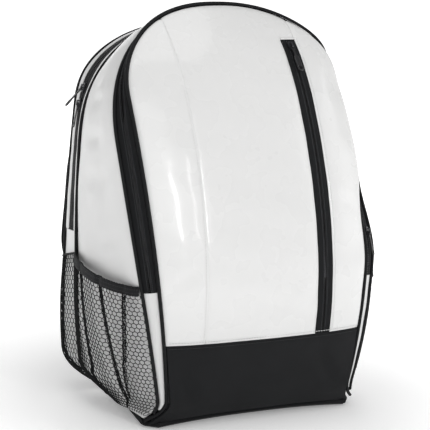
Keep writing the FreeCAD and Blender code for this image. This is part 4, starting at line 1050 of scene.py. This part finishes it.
def honeycomb(columns, rows):
    """Hexagons over a unit square: corner positions and faces."""
    corners, faces, found = [], [], {}

    def corner(x, y):
        key = (round(x * 6), round(y * 6))
        if key not in found:
            found[key] = len(corners)
            corners.append((x, y))
        return found[key]

    for j in range(rows):
        for i in range(columns):
            x, y = i + 0.5 * (j % 2), j * 1.5
            ring = ((0, 1), (0.5, 0.5), (0.5, -0.5), (0, -1), (-0.5, -0.5), (-0.5, 0.5))
            faces.append([corner(x + dx, y + dy) for dx, dy in ring])
    corners = np.array(corners)
    return (corners - corners.min(0)) / (corners.max(0) - corners.min(0)), faces


def knit(name, points, faces, uv):
    """Turns the cells of a net into yarn."""
    net = new_piece(name, points, faces, uv, NET)
    yarn = net.modifiers.new("yarn", "WIREFRAME")
    yarn.thickness, yarn.use_even_offset, yarn.use_relative_offset = 1.12 * MM, False, False
    solid = bpy.data.meshes.new_from_object(net.evaluated_get(bpy.context.evaluated_depsgraph_get()))
    net.modifiers.clear()
    net.data = solid
    solid.polygons.foreach_set("use_smooth", np.ones(len(solid.polygons), bool))
    return net


def net_pockets():
    run = np.linspace(0, 1, 120)
    for side, word in SIDES:
        shape, rear = side_net(side), rear_net(side)

        def net(name, over, u, v, lift, faces, uv, *nodes):
            fix(knit(name, lifted(over, side, u, v, lift), faces, uv), "bag", "net", *nodes)

        cells, faces = honeycomb(27, 31)
        top = 1 - (BINDING - 2) / (net_top(cells[:, 0]) - NET_LOW)
        u, v = gather(cells[:, 0], cells[:, 1]), cells[:, 1] * top
        net(f"net_{word}", shape, u, v, net_lift(u, v), faces, cells * 150, f"net_pocket_{word}")
        cells, faces = honeycomb(3, 46)
        aside = cells[:, 0] - 0.5
        wide = 0.036 * (0.4 + 0.6 * ease(cells[:, 1] * 5))
        for k, (top, foot, low, high, depth) in enumerate(NET_FOLDS):
            v = (0.35 * low + (1 - 0.35 * low) * cells[:, 1]) * (1 - (BINDING - 2) / NET_TALL)
            u = fold_middle(top, foot, v) + aside * wide
            lift = net_lift(u, v) + 1.6 - 3.0 * np.abs(aside)
            net(f"net_pleat_{word}_{k}", shape, u, v, lift, faces, cells * 60)
        cells, faces = honeycomb(10, 29)
        u, v = cells[:, 0], cells[:, 1]
        net(f"rear_net_{word}", rear, u, v, rear_net_lift(u, v), faces, cells * 150)
        u, v = np.linspace(0, 1, 60), np.ones(60)
        hem = lifted(rear, side, u, v, rear_net_lift(u, v))
        fix(tube(f"rear_net_hem_{word}", hem, 1.3, BINDING_CLOTH, 8), "bag", "webbing")

        def on_binding(row, off):
            share = 1 - BINDING * row / (net_top(run) - NET_LOW)
            return lifted(shape, side, run, share, net_lift(run, share) + NET_THICK + off)

        path = on_binding(0.5, 0.0) + vec(0, 0, 0.35 * np.sin(run * 210))
        binding = strap(f"net_binding_cloth_{word}", path, BINDING / 2, 2.6, (side, 0, 0), BINDING_CLOTH, 5.0)
        fix(binding, "bag", "webbing", f"net_binding_{word}")
        for k, row in enumerate((0.32, 0.68)):
            seam = stitches(f"net_stitch_{word}_{k}", on_binding(row, 0.2), (side, 0, 0), BLACK_THREAD,
                            3.2, 2.2, 0.3)
            fix(seam, "bag", "webbing")


# ---- back of the bag


def rows_over(outline, swell, low, behind=0.0):
    """A field across an outline, fuller by `swell` at its middle."""
    start = outline.station(low)

    def point(u, v):
        height = outline.height(start + (1.94 - start) * v ** 1.4)
        share = 2 * u - 1
        edge = outline.at_height(height, 1)
        room = swell * (1 - np.abs(share) ** 2.2) * np.sin(math.pi * np.clip(height / outline.top, 0, 1))
        return vec(edge[..., 0] * share, edge[..., 1] + room + behind, height + LIFT)

    return point


def divider_and_back():
    shape = rows_over(SECOND.inset_by(11), 12.0, 16.0, -1.0)
    divider = lay("divider_cloth", [(shape, 60, 90)], BEHIND, 1.0, LINING,
                  lambda raw, u, v: ripple(raw, (66, 44, 90), 1.0, 29) * np.sin(math.pi * u))
    fix(divider, "bag", "lining", "divider")

    def relief(raw, u, v):
        return sewn(rim_of(u, v, 260, 400), 1.0, 10, 1.2, 1.8) + ripple(raw, (70, 48), 0.4, 31)

    shape = rows_over(BACK_INNER, BACK_SWELL, GAP)
    back = lay("back_cloth", [(shape, 80, 130)], BEHIND, 6.0, BLACK_CLOTH, relief)
    fix(back, "bag", "foam", "back_panel")


def cushion(name, across, up, crown, material, channels):
    """A sewn pad on the back panel: round rim, crowned field, sewn channels across it."""
    (x_near, x_far), (low, high) = across, up
    wide, tall, corner = x_far - x_near, high - low, 16.0
    u, v = mesh_grid(max(int(wide / 2.2), 20), max(int(tall / 2.2), 20))
    x_edge, z_edge = np.abs(2 * u - 1), np.abs(2 * v - 1)
    # the outline's corners are rounded: its sides pull in near them
    turn = np.clip((z_edge - 1) * tall / (2 * corner) + 1, 0, 1)
    pull = 0.98 * 2 * corner / wide * (1 - np.sqrt(1 - turn ** 2))
    x = (x_near + x_far) / 2 + wide / 2 * (2 * u - 1) * (1 - pull)
    height = low + tall * v
    rim = np.minimum((1 - x_edge) * wide / 2, (1 - z_edge) * tall / 2)
    puff = crown * (0.22 + 0.78 * (1 - valley(rim, 7.0))) * (rim > 0.01)
    for place, upright, depth in channels:
        gap = (x if upright else height) - place
        puff = puff - depth * np.exp(-(gap / 2.6) ** 2) * (1 - valley(rim, 6.0))
    outer, inner = (vec(x, back_y(x, height) + GAP + off, height + LIFT)
                    for off in (0.6 + np.maximum(puff, 0.25), 0.4))
    return new_piece(name, *sheet_parts(outer, inner), material)


def pad_rim(name, across, up):
    """Bound edge of a pad, a cord round its outline."""
    waves = squared(np.linspace(0, 2 * math.pi, 200), 9.0)
    x, height = (sum(ends) / 2 + (ends[1] - ends[0]) / 2 * wave for ends, wave in zip((across, up), waves))
    return tube(name, vec(x, back_y(x, height) + GAP + 1.6, height + LIFT), 1.5, BINDING_CLOTH, 8)


def back_pads():
    rows = ((208, False, 3.5), (266, False, 3.5))
    for word, across, up, channels, *nodes in (
            ("left", (-100, -14), (150, 325), ((-57, True, 3.0), *rows), "back_pads"),
            ("right", (14, 100), (150, 325), ((57, True, 3.0), *rows)),
            ("lumbar", (-92, 92), (62, 138), ((0, True, 3.5), (100, False, 3.0))),
            ("yoke", (-82, 82), (ROOT_LOW - 4, ROOT_LOW + 36), ((ROOT_LOW + 26, False, 2.0),), "strap_yoke")):
        crown, cloth = (PAD_THICK - 1.2, BLACK_CLOTH) if word == "yoke" else (PAD_THICK - 0.6, AIR_MESH)
        pad = cushion(f"pad_{word}", across, up, crown, cloth, channels)
        fix(pad, "bag", "foam", *nodes)
        fix(pad_rim(f"pad_rim_{word}", across, up), "bag", "foam")


def strap_line(side, count):
    stations = ((0, ROOT_LOW - 4, 22), (7, 330, 36), (26, 305, 50), (42, 262, 53), (46, 216, 51),
                (53, 165, 45), (58, 118, 38))
    return spline([(side * (STRAP_SPREAD + x), float(back_y(STRAP_SPREAD + x, height)) + off, height + LIFT)
                   for x, height, off in stations], count)


def strap_half(v):
    return WEBBING / 2 + (STRAP_WIDTH - WEBBING) / 2 * ease(v / 0.22) * ease((1.12 - v) / 0.3)


def straps():
    for side, word in SIDES:
        body = f"strap_{word}"
        path = strap_line(side, 110)
        v = np.linspace(0, 1, len(path))
        half = strap_half(v) - 1.2
        puff = STRAP_THICK * (0.72 + 0.28 * ease(v / 0.12) * ease((1 - v) / 0.08))
        quilt = sum(np.exp(-((v - place) / 0.012) ** 2) for place in (0.2, 0.38, 0.56, 0.74))
        pad = strap(f"shoulder_pad_{word}", path - np.outer(0.6 * quilt, BEHIND), half, puff - 1.6 * quilt,
                    BEHIND, AIR_MESH, 3.0, 36, 1.2)
        fix(pad, body, "foam", f"strap_pad_{word}")
        across, outer = frames_along(path, BEHIND)
        fix(webbing(f"shoulder_face_{word}", (path + outer * 1.3)[14:96]), body, "webbing")
        for edge, where in ((-1, "in"), (1, "out")):
            line = path + across * (edge * half)[:, None] - outer * STRAP_THICK / 2
            fix(tube(f"shoulder_rim_{word}_{where}", line, 1.7, BINDING_CLOTH, 8), body, "foam")
            line = (path + outer * 1.45 + across * (edge * (WEBBING / 2 - 2.2)))[16:94]
            fix(stitches(f"shoulder_stitch_{word}_{where}", line, BEHIND, BLACK_THREAD), body, "webbing")
        x = side * STRAP_SPREAD
        height = np.linspace(ROOT_LOW + 21, ROOT_LOW - 18, 26)
        share = np.linspace(0, 1, 26)[:, None] ** 1.5
        target = at_run(height + LIFT, path[::-1, 2], path[::-1]) + (0, 0.8, 0)
        root = vec(x, back_y(x, height) + 20.5, height + LIFT) * (1 - share) + target * share
        sleeve = strap(f"strap_root_cloth_{word}", root, np.linspace(15.5, 14.0, 26), 9.0, BEHIND,
                       BLACK_CLOTH, 4.0, 28)
        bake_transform(sleeve)
        lower_webbing(side, word, path[-1])


def lower_webbing(side, word, low):
    """Webbing from the ladder lock to its sewn tab, with the short loop that holds the lock."""
    body = f"strap_{word}"
    tab_x = float(BACK.half(TAB_TOP)) - 22
    foot = np.array([side * tab_x, float(back_y(tab_x, TAB_TOP)) + 5.4, TAB_TOP + 1.1 + LIFT])
    lock = low + np.array([0, -STRAP_THICK / 2, 0])
    run = spline([lock + (0, 1.6, -3.0), lock + (0, -2.2, -8.0), lock + (0, -2.6, -17.0),
                  (lock + foot) / 2 + (0, 1.0, -6.0), foot + (0, 2.4, 3.0), foot + (0, 2.6, -2.5)], 60)
    fix(webbing(f"webbing_{word}", run), body, "webbing", f"strap_webbing_{word}")
    run = spline([lock + (0, y, z) for y, z in ((-1.0, 16.0), (-3.0, 8.0), (0.6, 4.2), (3.4, 2.5))], 24)
    fix(webbing(f"lock_loop_{word}", run, WEBBING / 2 - 0.6), body, "webbing")
    height = np.linspace(TAB_TOP, TAB_TOP - 24, 14)
    line = vec(side * tab_x, back_y(tab_x, height) + GAP + 7.6, height + LIFT)
    tab = strap(f"webbing_tab_{word}", line, WEBBING / 2 + 1.0, 6.8, BEHIND, BLACK_CLOTH, 6.0, 24)
    fix(tab, "bag", "webbing", *(("webbing_tabs",) if side < 0 else ()))
    box_stitch(f"tab_stitch_{word}", side * tab_x, TAB_TOP - 12, 9.5, 9.0, GAP + 7.75)


def box_stitch(name, x, height, wide, tall, off):
    """A sewn box with a cross in it, on the back of the bag."""
    corners = ((-1, -1), (1, -1), (1, 1), (-1, 1), (-1, -1), (1, 1), (1, -1), (-1, 1))
    path = np.array([(x + wide * a, height + tall * b) for a, b in corners])
    x, height = np.concatenate([np.linspace(a, b, 12)[:-1] for a, b in zip(path, path[1:])]).T
    line = vec(x, back_y(x, height) + off, height + LIFT)
    fix(stitches(name, line, BEHIND, BLACK_THREAD, 2.8, 2.0, 0.32), "bag", "webbing")


def haul_loop():
    share = np.linspace(-1, 1, 90)
    x = LOOP_SPAN / 2 * np.sin(math.pi / 2 * share)
    height = LOOP_TOP - LOOP_HEIGHT * (1 - np.abs(share) ** 3.2)
    path = vec(x, back_y(x, height) + GAP + WEBBING_THICK + GAP + 3.7, height + LIFT)
    grip = 1 - 0.16 * ease((np.abs(share) - 0.55) / 0.2)
    fix(tube("haul_handle", path, 3.2, WEBBING_CLOTH, 14, grip), "haul_loop", "webbing", "haul_loop")
    x, height = np.linspace(-45, 45, 40), LOOP_TOP - 3
    line = vec(x, back_y(x, height) + GAP + WEBBING_THICK, height + LIFT)
    fix(webbing("haul_patch_cloth", line, 7.0), "bag", "webbing", "haul_patch")
    for side, word in SIDES:
        box_stitch(f"haul_stitch_{word}", side * 37, height, 5.5, 4.2, GAP + WEBBING_THICK + 0.2)


# ---- stitching


def seam_stitches():
    for name, x, top in (("left_seam", -SEAM_LEFT - 3.2, 372), ("zip_outer", ZIP_OUT + 2.8, POCKET_TOP),
                         ("zip_inner", ZIP_IN - 2.8, POCKET_TOP)):
        seam = stitches(f"stitch_{name}", on_front(x, BOOT + 4, top), AHEAD, THREAD, 3.4, 2.4, 0.22)
        fix(seam, FOLD_BEND, "coated_cloth")
    x = np.linspace(-130, 130, 160)
    for name, height, lift, thread, slot in (("upper", BOOT + 3.2, 1.0, THREAD, "coated_cloth"),
                                             ("lower", BOOT - 3.2, 0.9, BLACK_THREAD, "black_cloth")):
        path = slack(front_surface(x, height)) + lift * np.array(AHEAD)
        fix(stitches(f"stitch_boot_{name}", path, AHEAD, thread), "bag", slot)


# ---- hard pieces from the CAD model


def pull_grip():
    """Moulded grip with a round eye at the end of the front pocket's pull."""
    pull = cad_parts["pocket_pull"]
    points = np.array([pull.matrix_world @ corner.co for corner in pull.data.vertices]) / MM
    middle = points.mean(0)
    axis = np.linalg.svd(points - middle, full_matrices=False)[2]
    along, outward = -np.sign(axis[0][2]) * axis[0], -np.sign(axis[2][1]) * axis[2]
    reach = ((points - middle) @ along).max()
    start, end = middle + along * reach * 0.05, middle + along * (reach + 1.0)
    share = np.linspace(0, 1, 26)
    path = start + (end - start) * share[:, None] + outward * 1.5
    corner = np.clip((np.abs(2 * share - 1) - 0.72) / 0.28, 0, 1)
    half = 4.0 * np.sqrt(np.maximum(1 - corner ** 2, 0.02))
    fix(strap("pocket_pull_grip", path, half, 2.4, outward, PULL_COAT, 3.0, 20), "pocket_pull", "pull")
    angle = np.linspace(0, 2 * math.pi, 25)[:, None]
    ring = np.cos(angle) * along + np.sin(angle) * np.cross(outward, along)
    ring = end + outward * 0.5 + along * 2.2 + 3.5 * ring
    fix(tube("pocket_pull_ring", ring, 1.1, PULL_COAT, 8), "pocket_pull", "pull")


def hard_pieces():
    for name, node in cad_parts.items():
        for word, material in (("_slider", CASTING), ("_pull", PULL_COAT), ("ladder_lock", BUCKLE),
                               ("base_board", BUCKLE)):
            if word in name:
                node.data.materials.clear()
                node.data.materials.append(material)


# ---- studio


LAMPS = (
    ("key", (-0.5, -2.3, 1.5), 10.5, 1.7),
    ("fill", (2.0, -0.9, 0.9), 5, 1.4),
    ("side", (-2.2, -0.2, 0.7), 1.5, 1.2),
    ("strip_wide", (0.22, -2.9, 1.27), 7, 0.10),
    ("strip_thin", (0.86, -2.76, 1.27), 2.4, 0.04),
    ("top", (0.0, 0.2, 2.6), 25, 2.4),
    ("back", (0.6, 2.4, 1.2), 12, 1.5),
)


def paper_floor():
    """White paper that glows more with distance, so that it fades into the background."""
    bpy.ops.mesh.primitive_plane_add(size=40, location=(0, 0, 0))
    floor = bpy.context.object
    floor.name = "floor"
    paper = Shade("floor_paper", (0.95, 0.95, 0.95), 0.85, Emission_Color=(1, 1, 1, 1))
    away = paper.node("VectorMath", {0: paper.spot}, operation="LENGTH").outputs["Value"]
    lit = paper.node("MapRange", {"Value": away, "From Min": 0.22, "From Max": 0.9, "To Min": 0.22,
                                  "To Max": 0.9})
    paper.tree.links.new(lit.outputs[0], paper.bsdf.inputs["Emission Strength"])
    paper.bump(paper.noise(60.0, 2.0), 0.0002, 0.05)
    floor.data.materials.append(paper.material)


def studio():
    """Bright near the horizon, dimmer overhead, with soft lamps and two tall strips."""
    world = bpy.data.worlds.new("studio")
    world.use_nodes = True
    tree = world.node_tree
    sky = tree.nodes["Background"]
    sky.inputs["Color"].default_value = (1, 1, 1, 1)
    kinds = ("TexCoord", "SeparateXYZ", "MapRange")
    aim, split, level = (tree.nodes.new("ShaderNode" + kind) for kind in kinds)
    for socket, value in (("From Min", 0.10), ("From Max", 0.30), ("To Min", 1.0), ("To Max", 0.28)):
        level.inputs[socket].default_value = value
    tree.links.new(aim.outputs["Generated"], split.inputs[0])
    tree.links.new(split.outputs["Z"], level.inputs["Value"])
    tree.links.new(level.outputs[0], sky.inputs["Strength"])
    bpy.context.scene.world = world
    for name, spot, power, size in LAMPS:
        light = bpy.data.lights.new(name, "AREA")
        light.energy, light.size = power, size
        if name.startswith("strip"):
            light.shape, light.size_y = "RECTANGLE", 1.1
        lamp = place(name, light)
        lamp.location = spot
        lamp.rotation_euler = (Vector((0, 0, 0.22)) - Vector(spot)).to_track_quat("-Z", "Y").to_euler()
    bpy.context.scene.view_settings.view_transform = "Standard"


def camera():
    """Camera at the photograph's view: left of the front, slightly above, rolled a little."""
    spot = Vector((-1143.88, -1792.51, 635.66)) * MM
    look = Vector((0.52336, 0.83049, -0.19073)).normalized()
    level = look.cross(Vector((0, 0, 1))).normalized()
    roll = math.radians(3.41)
    right = level * math.cos(roll) + level.cross(look) * math.sin(roll)
    up = right.cross(look)
    data = bpy.data.cameras.new("camera")
    data.sensor_width, data.lens = 36.0, 36.0 * 1825.126 / 430
    data.clip_start, data.clip_end = 0.05, 60
    eye = place("camera", data)
    eye.matrix_world = Matrix.Translation(spot) @ Matrix((right, up, -look)).transposed().to_4x4()
    bpy.context.scene.camera = eye


for build in (camera, paper_floor, studio, front_cloth, pocket_zip, boot, base, pocket_lining, piping,
              arch_zip, main_gusset, side_panels, net_pockets, divider_and_back, back_pads, straps,
              haul_loop, seam_stitches, pull_grip, hard_pieces):
    build()

bpy.context.view_layer.update()
